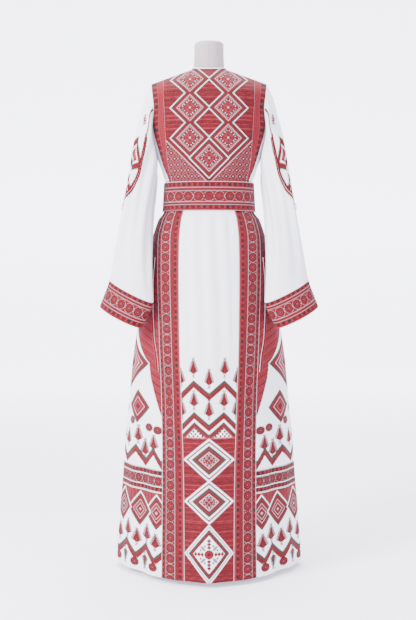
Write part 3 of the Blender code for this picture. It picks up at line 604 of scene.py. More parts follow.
def paint_centre(u, z):
    """The centre back panel: bare above, then trees and zigzags, then a column of framed diamonds."""
    half = 100 * np.interp(z / 100, level_z, back_inner)
    x = u * half
    trees = ((0.54, 58.8, 64.4), (-0.54, 58.8, 64.4), (0, 55.7, 61.4), (-1, 56, 61.6),
             (0.54, 49.7, 55.2), (-0.54, 49.7, 55.2), (0, 46.9, 52.5), (-1, 46.9, 52.8))
    ground = grove(WHITE + 0 * x[..., None], u, half, z, trees)
    ground = grove(ground, u, half, z, ((1, 56, 61.6), (1, 46.9, 52.8)), ink=GREY_GREEN)
    ground = zigzag_line(ground, peaks(u, 54.5, 58.1) - z, (0, 0.9, 2.2), (GREY_GREEN, RED))
    second = peaks(u, 45.7, 49.2) - z
    ground = zigzag_line(ground, second, (0, 0.85, 2.1, 2.9, 3.5, 4.3),
                         (GREY_GREEN, RED, WHITE, GREY_GREEN, RED))
    lattice = (off_repeat(x + z, 1.3) < 0.22) | (off_repeat(x - z, 1.3) < 0.22)
    ground = lay(ground, (within(second - 4.3), RED), (within(second - 4.8) * lattice[..., None], WHITE),
                 (between(z, 41.5, 41.9), PINK),
                 (within(41.5 - z), striped_brocade(x, z) * 0.93 + 0.07 * PINK))
    frames = ((1.0, WHITE), (0.90, RED), (0.80, WHITE), (0.69, RED), (0.66, GREY_GREEN), (0.53, RED),
              (0.39, mix(PINK, WHITE, 0.5)), (0.35, RED))
    large = ((1.0, WHITE), (0.935, RED), (0.89, WHITE), (0.84, GREY_GREEN), (0.74, RED), (0.63, WHITE))
    for middle, high, borders, flower in ((35.6, 6.1, frames, knotted_cross),
                                          (23.9, 6.1, frames, knotted_cross), (9.4, 8.4, large, leafy_cross)):
        reach = np.abs(u) + np.abs(z - middle) / high
        ground = nested_diamond(ground, reach, high, borders)
        ground = np.where((reach < 1)[..., None], flower(ground, x, z - middle), ground)
    return mottled(ground)


def paint_gore(t, z, width):
    """A side gore from the band's edge (0) to the side line (1): slanting brocade above a stepped
    white line, then on white cloth diamonds and discs, trees and zigzags, a border, a row of
    diamonds under upright stripes, trees, a zigzag, discs and the plain hem."""
    x = t * width
    lean = 0.66 * width
    slant = 0.5 + 0.5 * wave(z - 0.45 * x, 1.5) * wave(z - 0.45 * x, 4.1)
    fleck = 0.3 * np.sin(8.3 * x + 2 * np.sin(5.1 * z)) * np.sin(6.7 * z)
    line_z = np.interp(t, (0, 0.02, 0.24, 0.27, 0.55, 0.85, 1), (47.0, 47.5, 57.7, 61.0, 66.5, 71.8, 74.0))
    ground = mix(RED, PINK, np.clip(0.55 * slant + fleck, 0, 1)[..., None])
    # Painted shade: from 84 cm up the brocade darkens towards maroon, standing in for the shade under the
    # arm.
    ground = lay(ground, (0.6 * np.clip(0.7 - 1.6 * slant + fleck, 0, 1)[..., None], MAROON),
                 (0.5 * np.clip((z - 84) / 12, 0, 1)[..., None], MAROON), (within(line_z + 0.4 - z), WHITE))
    thin = mix(PINK, WHITE, 0.32)
    hip = ((1.0, WHITE), (0.97, GREY_GREEN), (0.89, RED), (0.76, thin), (0.72, RED), (0.62, thin),
           (0.57, PINK), (0.42, thin), (0.38, BRIGHT))
    small = ((1.0, WHITE), (0.97, GREY_GREEN), (0.82, RED), (0.56, thin), (0.50, RED), (0.34, PINK),
             (0.22, BRIGHT))
    row = ((1.10, WHITE), (1.0, GREY_GREEN), (0.86, RED), (0.60, thin), (0.55, RED), (0.38, thin),
           (0.33, RED), (0.10, thin))
    for middle, high, place, wide, borders in ((62.0, 9.2, 1.0, 0.74, hip), (49.3, 5.2, 0.55, 0.30, small)):
        ground = nested_diamond(ground, np.abs(t - place) / wide + np.abs(z - middle) / high, high, borders)
    ground = discs(ground, t, lean, z, ((0.70, 44.9), (0.27, 43.6), (0.08, 43.1), (0.98, 48.0)))
    ground = grove(ground, t, lean, z, ((0.51, 38.3, 43.9), (0.80, 36.9, 42.2), (0.16, 36.6, 41.8),
                                        (0.355, 34.6, 40.2), (0.99, 38.0, 43.4)))
    zig = np.interp(t, (0, 0.02, 0.16, 0.34, 0.55, 0.83, 0.98, 1),
                    (34.6, 34.6, 38.3, 34.6, 38.3, 34.6, 38.3, 38))
    ground = zigzag_line(ground, zig - z, (0, 0.95, 2.5), (GREY_GREEN, RED))
    band = block_row(BRIGHT + 0 * ground, z, 30.2, 31.5, x)
    band = block_row(band, z, 25.6, 26.8, x + 0.6)
    band = ringed_flower(band, np.mod(x, 3.0) - 1.5, z - 28.55, DISC_PITCH)
    for level in (30.1, 27.0, 31.8, 25.4):
        band = lay(band, (0.8 * between(z, level - 0.13, level + 0.13), WHITE))
    upright = 0.5 + 0.5 * wave(x, 1.15) * wave(x, 3.9)
    stripes = lay(mix(RED, PINK, (0.5 * upright)[..., None]),
                  (0.5 * np.clip(0.8 - 2 * upright, 0, 1)[..., None], MAROON))
    ground = lay(ground, (between(z, 25.3, 31.9), band), (between(z, 19.6, 25.2), stripes))
    for place in (0.09, 0.43, 0.84):
        ground = nested_diamond(ground, np.abs(t - place) / 0.222 + np.abs(z - 19.4) / 4.9, 4.9, row)
    ground = grove(ground, t, lean, z, ((0.66, 10.3, 16.0), (0.90, 8.6, 14.0), (0.475, 8.6, 13.8),
                                        (0.27, 10.3, 15.8), (0.10, 8.6, 13.6)), 1.6)
    zag = np.interp(t, (0, 0.12, 0.28, 0.49, 0.67, 0.92, 1), (8.9, 6.7, 10.5, 6.7, 10.5, 6.7, 8.1))
    ground = zigzag_line(ground, zag - z, (0, 0.95, 2.5), (GREY_GREEN, RED))
    ground = discs(ground, t, lean, z, ((0.90, 3.8), (0.50, 3.8), (0.14, 3.8)))
    return mottled(grove(ground, t, lean, z, ((0.70, 7.6, 2.6), (0.30, 7.6, 2.6)), 1.2, GREY_GREEN))


# Cross-stitch: dull red, pink and grey-green cotton thread in small crosses over a white even
# weave. Each stitch is a little cushion, matt with a soft sheen, and its tone wanders slightly.
# Thread colour is the piece's own attribute; bump = |sin| x |sin| of the flat sewing grid, and the
# same cushion darkens the colour between the stitches as painted shade.
cross_stitch, tree, shader = new_material("cross_stitch_cotton", 0.85, 0.03)
thread = node(tree, "VertexColor", {"layer_name": "thread"}).outputs["Color"]
grid = node(tree, "SeparateXYZ", None, {"Vector": node(tree, "UVMap", {"uv_map": "flat"}).outputs[0]})
rows = []
for axis in ("X", "Y"):
    turns = node(tree, "Math", {"operation": "MULTIPLY", 1: math.pi / STITCH}, {0: grid.outputs[axis]})
    sine = node(tree, "Math", {"operation": "SINE"}, {0: turns.outputs[0]})
    rows.append(node(tree, "Math", {"operation": "ABSOLUTE"}, {0: sine.outputs[0]}).outputs[0])
cushion = node(tree, "Math", {"operation": "MULTIPLY"}, {0: rows[0], 1: rows[1]}).outputs[0]
wander = node(tree, "TexNoise", {"Scale": 260.0, "Detail": 3.0},
              {"Vector": node(tree, "TexCoord").outputs["Object"]}).outputs["Fac"]
# The thread colour is scaled by 0.88 to 1.06: partly a random tone from the noise, partly painted shade where
# the cushion drops between stitches.
both = node(tree, "Math", {"operation": "MULTIPLY_ADD", 1: 0.35}, {0: cushion, 2: wander}).outputs[0]
depth = node(tree, "MapRange", {"From Min": 0.2, "From Max": 1.1, "To Min": 0.88, "To Max": 1.06},
             {"Value": both}).outputs[0]
shaded = node(tree, "VectorMath", {"operation": "SCALE"}, {0: thread, "Scale": depth})
tree.links.new(shaded.outputs[0], shader.inputs["Base Color"])
bump = node(tree, "Bump", {"Strength": 0.5, "Distance": 0.0006}, {"Height": cushion})
tree.links.new(bump.outputs[0], shader.inputs["Normal"])

# Plain white cotton: matt, faintly cool, a square weave from two crossing waves a thread apart,
# and a slow tone, drawn out lengthwise, that paints shade for soft creases into the colour and lifts them a
# little in the bump.
THREAD_MM = 1.1

white_cotton, tree, shader = new_material("white_cotton", 0.88, 0.06)
place = node(tree, "TexCoord").outputs["Object"]
long_way = node(tree, "Mapping", {"Scale": (1, 1, 0.3)}, {"Vector": place}).outputs[0]
tone = node(tree, "TexNoise", {"Scale": 20.0, "Detail": 5.0}, {"Vector": long_way}).outputs["Fac"]
# Painted shade of creases: the streaked tone darkens the white down to #DAD8E8.
ramp = node(tree, "ValToRGB", None, {"Fac": tone})
for element, position, colour in zip(ramp.color_ramp.elements, (0.3, 0.62), ("#DAD8E8", "#F2F1FA")):
    element.position = position
    element.color = (*linear(colour), 1)
tree.links.new(ramp.outputs[0], shader.inputs["Base Color"])
threads = {"Scale": 1000 / THREAD_MM / 6.28, "Distortion": 0.6}
weft, warp = [node(tree, "TexWave", {**threads, "bands_direction": way}, {"Vector": place}).outputs["Fac"]
              for way in "ZX"]
weave = node(tree, "Math", {"operation": "MULTIPLY"}, {0: weft, 1: warp}).outputs[0]
height = node(tree, "Math", {"operation": "MULTIPLY_ADD", 1: 0.25}, {0: weave, 2: tone}).outputs[0]
bump = node(tree, "Bump", {"Strength": 0.5, "Distance": 0.0025}, {"Height": height})
tree.links.new(bump.outputs[0], shader.inputs["Normal"])

# Sewing the skirt together, piece by piece: the centre panels, the bands and the gores. The
# embroidered ones have a cell for about each stitch, the plain front one far fewer.
SKIRT_ROWS = 448
CENTRE_COLUMNS = 104
BAND_COLUMNS = 40
GORE_COLUMNS = 176
PLAIN_ROWS = 192
PLAIN_COLUMNS = 36


def dress(made, node_name):
    """Puts a piece on the whole, in its CAD node's place, and hides the CAD node."""
    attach(made, "root")
    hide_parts(node_name)


def hung(made, node_name, slot, width, length, area, rests_on="form_torso", trims=()):
    dress(made, node_name)


def sew(node_name, slot, flat, points, finish, inks=None, inner=CLOTH, around=False, coarse=4,
        ending="cloth", rests_on="form_torso"):
    """Makes a node's cloth piece, named for the node, and hangs it. flat, its width and length, is not used.
    """
    made = cloth_piece(f"{node_name}_{ending}", points, inner, finish, inks, around, coarse)
    hung(made, node_name, slot, *flat, surface_area(points, around), rests_on)


def surface_area(points, around=False):
    """The area of a grid of points, from the cross products of its cells' diagonals."""
    if around:
        points = np.concatenate([points, points[:, :1]], axis=1)
    one = points[1:, 1:] - points[:-1, :-1]
    two = points[1:, :-1] - points[:-1, 1:]
    return float(np.linalg.norm(np.cross(one, two), axis=-1).sum() / 2)


back_inner, back_outer = girth_at(0), girth_at(1)
front_inner, front_outer = girth_at(0, True), girth_at(1, True)

points, share, height = skirt_grid(-back_inner, back_inner, CENTRE_COLUMNS, SKIRT_ROWS)
sew("back_skirt", "white_cloth", (0.179, 1.11), points, cross_stitch, paint_centre(2 * share - 1, height))
points, share, height = skirt_grid(front_inner, level_girth - front_inner, PLAIN_COLUMNS, PLAIN_ROWS)
sew("front_skirt", "white_cloth", (0.176, 1.11), points, white_cotton)

for face, inner_edge, outer_edge in (("back", back_inner, back_outer), ("front", front_inner, front_outer)):
    for name, side in SIDES:
        low, high = sorted([side * inner_edge, side * outer_edge], key=lambda edge: edge[0])
        points, share, height = skirt_grid(low, high, BAND_COLUMNS, SKIRT_ROWS)
        from_inner = share if (side > 0) == (face == "back") else 1 - share
        sew(f"skirt_band_{face}_{name}", "red_embroidery", (0.084, 1.11), points, cross_stitch,
            paint_band(from_inner, height))

for name, side in SIDES:
    low, high = sorted([side * back_outer, side * front_outer], key=lambda edge: edge[0])
    points, share, height = skirt_grid(low, high, GORE_COLUMNS, SKIRT_ROWS)
    from_back = share if side > 0 else 1 - share
    width = 100 * np.interp(height / 100, level_z, np.abs(high - low)) / 2
    mirrored = 1 - np.abs(2 * from_back - 1)
    sew(f"side_gore_{name}", "red_embroidery", (0.50, 1.11), points, cross_stitch,
        paint_gore(mirrored, height, width))

# Pocket welts: a narrow strip of red tape stitched down along the back edge of each hip slit,
# with a pale pink line along both of its edges.
TRIM_CLOTH = 0.0012
WELT = np.array([(0.600, 0.1480), (0.640, 0.1520), (0.700, 0.1620), (0.780, 0.1660), (0.860, 0.1650),
                 (0.930, 0.1600)])
WELT_WIDTH = 0.010
WELT_LIFT = 0.0018

welt_z = np.linspace(WELT[-1, 0], WELT[0, 0], 121)[:, None]
welt_girth = np.interp(welt_z, level_z, level_girth)
steps = np.linspace(0, 1, OUTLINE_STEPS + 1)[None, :]
welt_x = skirt_level(steps * welt_girth, welt_z + 0 * steps)[0][..., 0]
to_side = OUTLINE_STEPS // 4 + 1
welt_middle = [np.interp(smooth(WELT, z)[0], x[:to_side], np.linspace(0, whole, OUTLINE_STEPS + 1)[:to_side])
               for z, x, whole in zip(welt_z[:, 0], welt_x, welt_girth[:, 0])]
for name, side in SIDES:
    share = np.linspace(-0.5, 0.5, 5)[None, :]
    s = side * (np.array(welt_middle)[:, None] + WELT_WIDTH * share)
    points = skirt_points(s, welt_z + 0 * s, WELT_LIFT)
    middle = (share[:, 1:] + share[:, :-1]) / 2 + 0 * welt_z[1:]
    inks = lay(RED + 0 * middle[..., None], (0.8 * within((np.abs(middle) - 0.27) * 2, 0.1), PINK))
    sew(f"pocket_welt_{name}", "red_embroidery", (0.0101, 0.339), points, cross_stitch, inks, TRIM_CLOTH,
        ending="tape", rests_on=f"side_gore_{name}_cloth")

# Bodice: one embroidered back panel, a plain white front with a neck slit, a narrow band round
# each armhole at back and front, and white cloth under the arms. All are flat cut cotton.
BAND_SPLIT_Z = 1.315
ARMPIT_Z = 1.222
TIP_X, TIP_Z = 0.171, 1.444
NECK_X, NECK_Z = 0.052, 1.4865
NECK_RISE = 0.030
BACK_NECK_Z = 1.480
FRONT_NECK_Z = 1.415
SHOULDER_ROUND = 0.060
BODICE_POWER = 2.3
SLIT_BOTTOM_Z = 1.285
SLIT_HALF_WIDTH = 0.004
V_FOOT_Z = 115.8
BODICE_DIAMOND = 5.87
WREATH = 3.7
ARMHOLE_BAND = 3.4
BODICE_COLUMNS = 160
ARMHOLE_COLUMNS = 16
BODICE = np.array([
    (1.108, 0.1315, 0.1005, 0.1005), (1.156, 0.1300, 0.1010, 0.1020), (1.168, 0.1355, 0.1060, 0.1080),
    (1.192, 0.1425, 0.1120, 0.1150), (1.222, 0.1545, 0.1150, 0.1200), (1.270, 0.1700, 0.1180, 0.1250),
    (1.315, 0.1780, 0.1180, 0.1240), (1.360, 0.1830, 0.1140, 0.1150), (1.400, 0.1860, 0.1070, 0.1050),
    (1.444, 0.1900, 0.0900, 0.0900), (1.487, 0.1920, 0.0620, 0.0700), (1.540, 0.1920, 0.0600, 0.0700),
])
ARMHOLE = np.array([
    (1.222, 0.1545), (1.250, 0.1600), (1.280, 0.1635), (1.315, 0.1650), (1.362, 0.1612), (1.400, 0.1655),
    (1.444, 0.1710),
])
BODICE_BAND = np.array([
    (1.108, 0.1060, 0.1140), (1.155, 0.1106, 0.1187), (1.190, 0.1180, 0.1320), (1.245, 0.1245, 0.1488),
    (1.315, 0.1280, 0.1650), (1.362, 0.1306, 0.1612), (1.400, 0.1325, 0.1655), (1.444, 0.1346, 0.1710),
])


def ridge(x):
    """The shoulder line's height: a straight slope from neck to tip, carried on over the neck."""
    x = np.abs(x)
    slope = (NECK_Z - TIP_Z) / (TIP_X - NECK_X)
    return np.where(x > NECK_X, NECK_Z - slope * (x - NECK_X), NECK_Z + NECK_RISE * (1 - (x / NECK_X) ** 2))


def bodice_y(x, z, front=False):
    """y = depth x (1 - |x / width|^p)^(1/p) x sqrt(1 - (1 - drop below the shoulder / round)^2)."""
    width, back, chest = smooth(BODICE, z)
    side = np.clip(1 - (np.abs(x) / width) ** BODICE_POWER, 0, 1) ** (1 / BODICE_POWER)
    over = 1 - np.clip(1 - (ridge(x) - z) / SHOULDER_ROUND, 0, 1) ** 2
    return (1 if front else -1) * (chest if front else back) * side * np.sqrt(over)


def bodice_normal(points, front=False):
    """The direction in which (y / depth)^2 + (rounding over the shoulder)^2 grows, by small steps."""
    near = 0.0008

    def grown(x, y, z):
        """What grows outwards, at a point."""
        width, back, chest = smooth(BODICE, z)
        side = np.clip(1 - (np.abs(x) / width) ** BODICE_POWER, 1e-6, 1) ** (1 / BODICE_POWER)
        depth = (chest if front else back) * side
        return (y / depth) ** 2 + np.clip(1 - (ridge(x) - z) / SHOULDER_ROUND, 0, 2) ** 2

    x, y, z = points[..., 0], points[..., 1], points[..., 2]
    return unit(np.stack([grown(x + near, y, z) - grown(x - near, y, z),
                          grown(x, y + near, z) - grown(x, y - near, z),
                          grown(x, y, z + near) - grown(x, y, z - near)], axis=-1))


def neck_line(x, front=False):
    """The bodice's top edge: the shoulder line, and inside the neck an arc that dips to its middle."""
    part = np.clip(np.abs(x) / NECK_X, 0, 1)
    if front:
        dip = FRONT_NECK_Z + (NECK_Z - FRONT_NECK_Z) * (1 - np.sqrt(1 - part ** 2))
    else:
        dip = BACK_NECK_Z + (NECK_Z - BACK_NECK_Z) * part ** 2
    return np.where(np.abs(x) < NECK_X, dip, ridge(x))


def band_edges(z):
    """Inner and outer edge of the armhole bands; above the split the armhole is the outer edge."""
    inner, outer = smooth(BODICE_BAND, z)
    return inner, np.where(z > BAND_SPLIT_Z - 1e-9, smooth(ARMHOLE, z)[0], outer)


def onto_shoulder(x, z_row, front=False):
    """A row's height: its own up to the split, then eased up to the shoulder and neck line."""
    rise = np.clip((z_row - BAND_SPLIT_Z) / (TIP_Z - BAND_SPLIT_Z), 0, 1)
    return z_row + rise ** 2 * (neck_line(x, front) - TIP_Z)


def bodice_walls(across, z_row, from_edge, to_edge, side, front=False):
    """Outer and inner points between two edges (0 inner, 1 outer, None the other side's mirror)."""
    edges = band_edges(z_row)
    start = edges[from_edge] + SEAM_GAP / 2 if from_edge is not None else -edges[to_edge] + SEAM_GAP / 2
    stop = edges[to_edge] - SEAM_GAP / 2
    x = start[:, None] + (stop - start)[:, None] * across[None, :]
    z = onto_shoulder(x, z_row[:, None], front)
    outer = np.stack([x, bodice_y(x, z, front), z], axis=-1)
    inner = outer - bodice_normal(outer, front) * CLOTH
    for wall in (outer, inner):
        y = wall[..., 1]
        wall[..., 1] = np.maximum(y, SEAM_GAP / 2) if front else np.minimum(y, -SEAM_GAP / 2)
        wall[..., 0] *= side
    return outer, inner


def cell_middles(points):
    """The centre of every cell of a grid, in centimetres."""
    return 25 * (points[1:, 1:] + points[:-1, 1:] + points[1:, :-1] + points[:-1, :-1])


def block_wreath(ground, x, z):
    """A diamond's filling: a row of white dots, a wreath of grey-green and deep red blocks with white
    stitches between them, and a speckled heart. Out is |x| + |z|, along the place on a side."""
    out, along = np.abs(x) + np.abs(z), np.abs(np.abs(x) - np.abs(z))
    dots = within(0.14 - off_repeat(along, 0.8), 0.14) * between(out, 0.85 * WREATH, 0.93 * WREATH, 0.12)
    ground = lay(ground, (0.4 * dots, WHITE))
    side = between(out, 0.58 * WREATH, 0.76 * WREATH, FINE_SOFT)
    for low, high, ink in ((-1, 0.6, GREY_GREEN), (0.65, 0.78, WHITE), (0.85, 1.5, BRIGHT),
                           (1.6, 1.7, WHITE)):
        ground = lay(ground, (between(along, low, high, 0.12) * side, ink))
    r, turn = np.hypot(x, z), np.arctan2(z, x)
    return lay(ground, (0.45 * within(0.36 * WREATH - r), PINK),
               (0.8 * within(0.30 * WREATH * (0.62 + 0.38 * np.cos(4 * turn)) - r, 0.2), BRIGHT),
               (0.4 * within(0.07 * WREATH - r), WHITE))


def paint_bodice(x, z):
    """The back: two columns of three diamonds that run into each other on striped brocade, one more
    between their feet, and a net of small flowers below the V that their lower edges make."""
    wide = np.abs(x)
    below = wide + V_FOOT_Z - z
    odd = np.mod(np.floor(z / 1.7), 2) > 0.5
    net_x, net_z = np.mod(x + np.where(odd, 1.0, 0), 2.0) - 1.0, np.mod(z, 1.7) - 0.85
    r = np.hypot(net_x, net_z)
    pale = mix(PINK, WHITE, 0.5)
    net = lay(mix(RED, PINK, 0.1) + 0 * x[..., None], (within(0.66 - r, 0.2), MAROON),
              (within(0.45 - r, 0.2), RED),
              (0.35 * within(0.06 - np.abs(np.abs(net_x) + np.abs(net_z) - 1.0), 0.16), pale),
              (0.5 * within(0.14 - r, 0.14), WHITE))
    ground = lay(striped_brocade(x, z), (within(below), 0.5 * (BRIGHT + RED)), (within(below - 1.5), net),
                 (0.8 * between(below, 1.35, 1.58, FINE_SOFT), pale))
    thin = mix(PINK, WHITE, 0.55)
    frames = ((1.0, WHITE), (0.956, GREY_GREEN), (0.86, BRIGHT), (0.80, RED), (0.66, thin), (0.635, RED))
    for column, middles in ((5.53, (144.7, 136.1, 127.4)), (0, (121.6,))):
        rows = np.array(middles)
        dx = (wide if column else x) - column
        dz = z - rows[np.abs(z[..., None] - rows).argmin(axis=-1)]
        reach = (np.abs(dx) + np.abs(dz)) / BODICE_DIAMOND
        ground = nested_diamond(ground, reach, BODICE_DIAMOND, frames)
        ground = np.where((reach < 0.62)[..., None], block_wreath(ground, dx, dz), ground)
    return mottled(ground)


def paint_armhole_band(u, z):
    """The armhole band from its inner edge out: pink line, pink ribs, pink line, red with blocks."""
    x = u * ARMHOLE_BAND
    ground = mix(RED, PINK, 0.5 * (0.5 + 0.5 * wave(x, 0.55))[..., None])
    ground = block_row(ground, x, 0.56 * ARMHOLE_BAND, 0.96 * ARMHOLE_BAND, z)
    for low, high, ink in ((-0.1, 0.03, PINK), (0.49, 0.52, PINK), (0.96, 1.1, RED)):
        ground = lay(ground, (between(x, low * ARMHOLE_BAND, high * ARMHOLE_BAND), ink))
    return mottled(ground)


lower_rows = np.linspace(WAIST_Z + SEAM_GAP, BAND_SPLIT_Z, 77)
upper_rows = TIP_Z - (TIP_Z - BAND_SPLIT_Z) * (1 - np.linspace(0, 1, 61)[1:]) ** 2
bodice_rows = np.r_[lower_rows, upper_rows]
fine_rows = np.interp(np.arange(2 * len(bodice_rows) - 1) / 2, np.arange(len(bodice_rows)), bodice_rows)
outer, inner = bodice_walls(np.linspace(0, 1, BODICE_COLUMNS + 1), fine_rows, None, 0, 1)
middles = cell_middles(outer)
sew("back_bodice", "red_embroidery", (0.29, 0.44), outer, cross_stitch,
    paint_bodice(middles[..., 0], middles[..., 2]), inner)

half_across = np.linspace(SLIT_HALF_WIDTH / BODICE_BAND[-1, 1], 1, 24)
front_across = np.r_[-half_across[::-1], half_across] / 2 + 0.5
front_rows = bodice_rows[::4]
outer, inner = bodice_walls(front_across, front_rows, None, 0, 1, True)
kept = np.ones((len(front_rows) - 1, len(front_across) - 1), bool)
kept[:, len(half_across) - 1] = outer[:-1, len(half_across) - 1, 2] <= SLIT_BOTTOM_Z
front_cloth = cloth_piece("front_bodice_cloth", outer, inner, white_cotton, coarse=1, kept=kept)
front_area = surface_area(outer)

# Neck binding: a narrow bias strip of white cotton rolled along the neck's raw edge and hemmed
# down by hand; it stops at each side of the front slit.
BINDING_RADIUS = 0.0016
BINDING_OFF_EDGE = 0.0025
BINDING_STEPS = 40

quarter = np.sin(np.linspace(np.arcsin(SLIT_HALF_WIDTH / NECK_X), np.pi / 2, BINDING_STEPS)) * NECK_X
half_back = np.sin(np.linspace(np.pi / 2, 0, BINDING_STEPS)[1:]) * NECK_X
line_x = np.r_[quarter, half_back, -half_back[-2::-1], -quarter[::-1]]
is_front = np.arange(len(line_x)) % (len(line_x) - BINDING_STEPS) < BINDING_STEPS
line_z = np.where(is_front, neck_line(line_x, True), neck_line(line_x))
line_y = np.where(is_front, bodice_y(line_x, line_z, True), bodice_y(line_x, line_z))
line = np.stack([line_x, line_y, line_z], axis=-1)
surface = np.where(is_front[:, None], bodice_normal(line, True), bodice_normal(line))
off_edge = np.cross(surface, unit(np.gradient(line, axis=0)))
off_edge *= np.sign(off_edge[:, 2:] - np.abs(line_x[:, None]) * 1e-6)
line = line + off_edge * BINDING_OFF_EDGE


def rolled_strip(name, path, radius, finish):
    """A round strip: path + radius x (out cos a + over sin a), with out level and across the path."""
    around = 12
    ahead = unit(np.gradient(path, axis=0))
    out = unit(np.cross(ahead, [0, 0, 1]))
    over = np.cross(out, ahead)
    turn = np.linspace(0, 2 * np.pi, around, endpoint=False)[None, :, None]
    rings = path[:, None] + radius * (out[:, None] * np.cos(turn) + over[:, None] * np.sin(turn))
    i, j = np.meshgrid(np.arange(len(path) - 1), np.arange(around), indexing="ij")
    k = (j + 1) % around
    faces = np.stack([i * around + j, (i + 1) * around + j, (i + 1) * around + k, i * around + k], axis=-1)
    end = range((len(path) - 1) * around, len(path) * around)
    faces = faces.reshape(-1, 4).tolist() + [list(range(around)), list(end)[::-1]]
    mesh = bpy.data.meshes.new(name)
    mesh.from_pydata(rings.reshape(-1, 3).tolist(), [], faces)
    mesh.shade_smooth()
    mesh.materials.append(finish)
    made = bpy.data.objects.new(name, mesh)
    bpy.context.scene.collection.objects.link(made)
    return made


binding = rolled_strip("neck_binding_strip", line, BINDING_RADIUS, white_cotton)
dress(binding, "neck_binding")
hung(front_cloth, "front_bodice", "white_cloth", 0.29, 0.44, front_area, trims=[binding])

for face, front in (("back", False), ("front", True)):
    for name, side in SIDES:
        across = np.linspace(0, 1, ARMHOLE_COLUMNS + 1)
        outer, inner = bodice_walls(across, bodice_rows, 0, 1, side, front)
        middles = cell_middles(outer)
        share = (np.arange(ARMHOLE_COLUMNS) + 0.5)[None, :] / ARMHOLE_COLUMNS + 0 * middles[..., 0]
        sew(f"armhole_band_{face}_{name}", "red_embroidery", (0.054, 0.40), outer, cross_stitch,
            paint_armhole_band(share, middles[..., 2]), inner)


def side_panel_points(across, z_edge):
    """White cloth under the arm: across is -1 at the back band and 1 at the front band; its top
    edge dips in a parabola to the armpit, and each level follows the bodice's rounded outline."""
    low, high = z_edge[0], z_edge[-1]
    reach = np.abs(across)[None, :]
    rise = ((z_edge - low) / (high - low))[:, None]
    z_top = ARMPIT_Z + (high - ARMPIT_Z) * reach ** 2
    z = low + rise * (z_top - low)

    def turn_at(x, level):
        """The turn at which the bodice's outline has reached x."""
        return np.arcsin(np.clip(x / smooth(BODICE, level)[0], 0, 1) ** (BODICE_POWER / 2))

    band = turn_at(band_edges(z_edge)[1] + SEAM_GAP / 2, z_edge)
    arm = turn_at(smooth(ARMHOLE, z_top)[0], z_top)
    share = (1 - rise) * reach + rise * (np.pi / 2 - arm) / (np.pi / 2 - band[-1])
    turn = np.pi / 2 - (np.pi / 2 - band)[:, None] * share
    width, back, chest = smooth(BODICE, z)
    depth = np.where(across[None, :] > 0, chest, -back)
    return np.stack([width * np.sin(turn) ** (2 / BODICE_POWER),
                     depth * np.abs(np.cos(turn)) ** (2 / BODICE_POWER), z + 0 * turn], axis=-1)


for name, side in SIDES:
    points = side_panel_points(np.linspace(-1, 1, 25), lower_rows[:73:2]) * [side, 1, 1]
    sew(f"side_panel_{name}", "white_cloth", (0.21, 0.207), points, white_cotton, coarse=1)

# Belt: a stiff embroidered band, 84 mm wide, wrapped once round the waist over the seam.
BELT_TOP_Z = 1.150
BELT_CLOTH = 0.003
BELT_CLEARANCE = 0.0019
BELT_PITCH = 3.06
BELT_COLUMNS = 280
TURN_ROWS = 53


def belt_points(turn, z):
    """x = width sin^(2/p), y = -depth cos^(2/p) of the waist at each height, moved out by the cloth,
    with a slack wave of half a millimetre."""
    width, depth = np.where(z < WAIST_Z, smooth(SKIRT, z)[:2], smooth(BODICE, z)[:2])
    out = BELT_CLEARANCE + BELT_CLOTH + 0.0005 * np.sin(3 * turn + 40 * z) * np.sin(7 * turn)
    x = (width + out) * power(np.sin(turn), 2 / BODICE_POWER)
    y = -(depth + out) * power(np.cos(turn), 2 / BODICE_POWER)
    return np.stack([x, y, z], axis=-1)


def paint_belt(down, along, width, pitch):
    """Belt and cuffs, from the top edge down: white, blocks, a fine line, ringed flowers between two
    fine lines, a line, blocks, pink."""
    y = down * width
    ground = RED + 0.4 * (BRIGHT - RED) * (0.5 + 0.5 * wave(along, 0.7))[..., None]
    for low, high, shift in ((0.06, 0.17, 0), (0.83, 0.935, 0.6)):
        ground = block_row(ground, y, low * width, high * width, along + shift)
    pale = mix(PINK, WHITE, 0.3)
    for low, high, ink in ((-0.1, 0.010, WHITE), (0.314, 0.332, pale), (0.696, 0.714, pale),
                           (0.965, 1.1, PINK), (0.20, 0.22, pale), (0.795, 0.81, pale)):
        ground = lay(ground, (0.85 * between(y, low * width, high * width, FINE_SOFT), ink))
    flower = ringed_flower(RED + 0 * ground, np.mod(along, pitch) - pitch / 2, y - 0.514 * width, pitch)
    return mottled(lay(ground, (between(y, 0.336 * width, 0.692 * width, FINE_SOFT), flower)))


turn = np.linspace(0, 2 * np.pi, BELT_COLUMNS, endpoint=False)[None, :] + np.zeros((TURN_ROWS, 1))
belt_z = BELT_TOP_Z + (BELT_BOTTOM_Z - BELT_TOP_Z) * np.linspace(0, 1, TURN_ROWS)[:, None] + 0 * turn
points = belt_points(turn, belt_z)
loop = np.concatenate([points, points[:, :1]], axis=1)
widths = np.linalg.norm(np.diff(loop, axis=1), axis=-1)[1:] * 100
along = np.cumsum(widths, axis=1) - widths / 2 + BELT_PITCH / 2
along = along - np.where(np.arange(BELT_COLUMNS) < BELT_COLUMNS // 2, 0, widths.sum(axis=1, keepdims=True))
down = (BELT_TOP_Z - cell_middles(loop)[..., 2] / 100) / (BELT_TOP_Z - BELT_BOTTOM_Z)
sew("belt", "red_embroidery", (0.785, 0.084), points, cross_stitch,
    paint_belt(down, along, 8.4, BELT_PITCH), BELT_CLOTH, True)

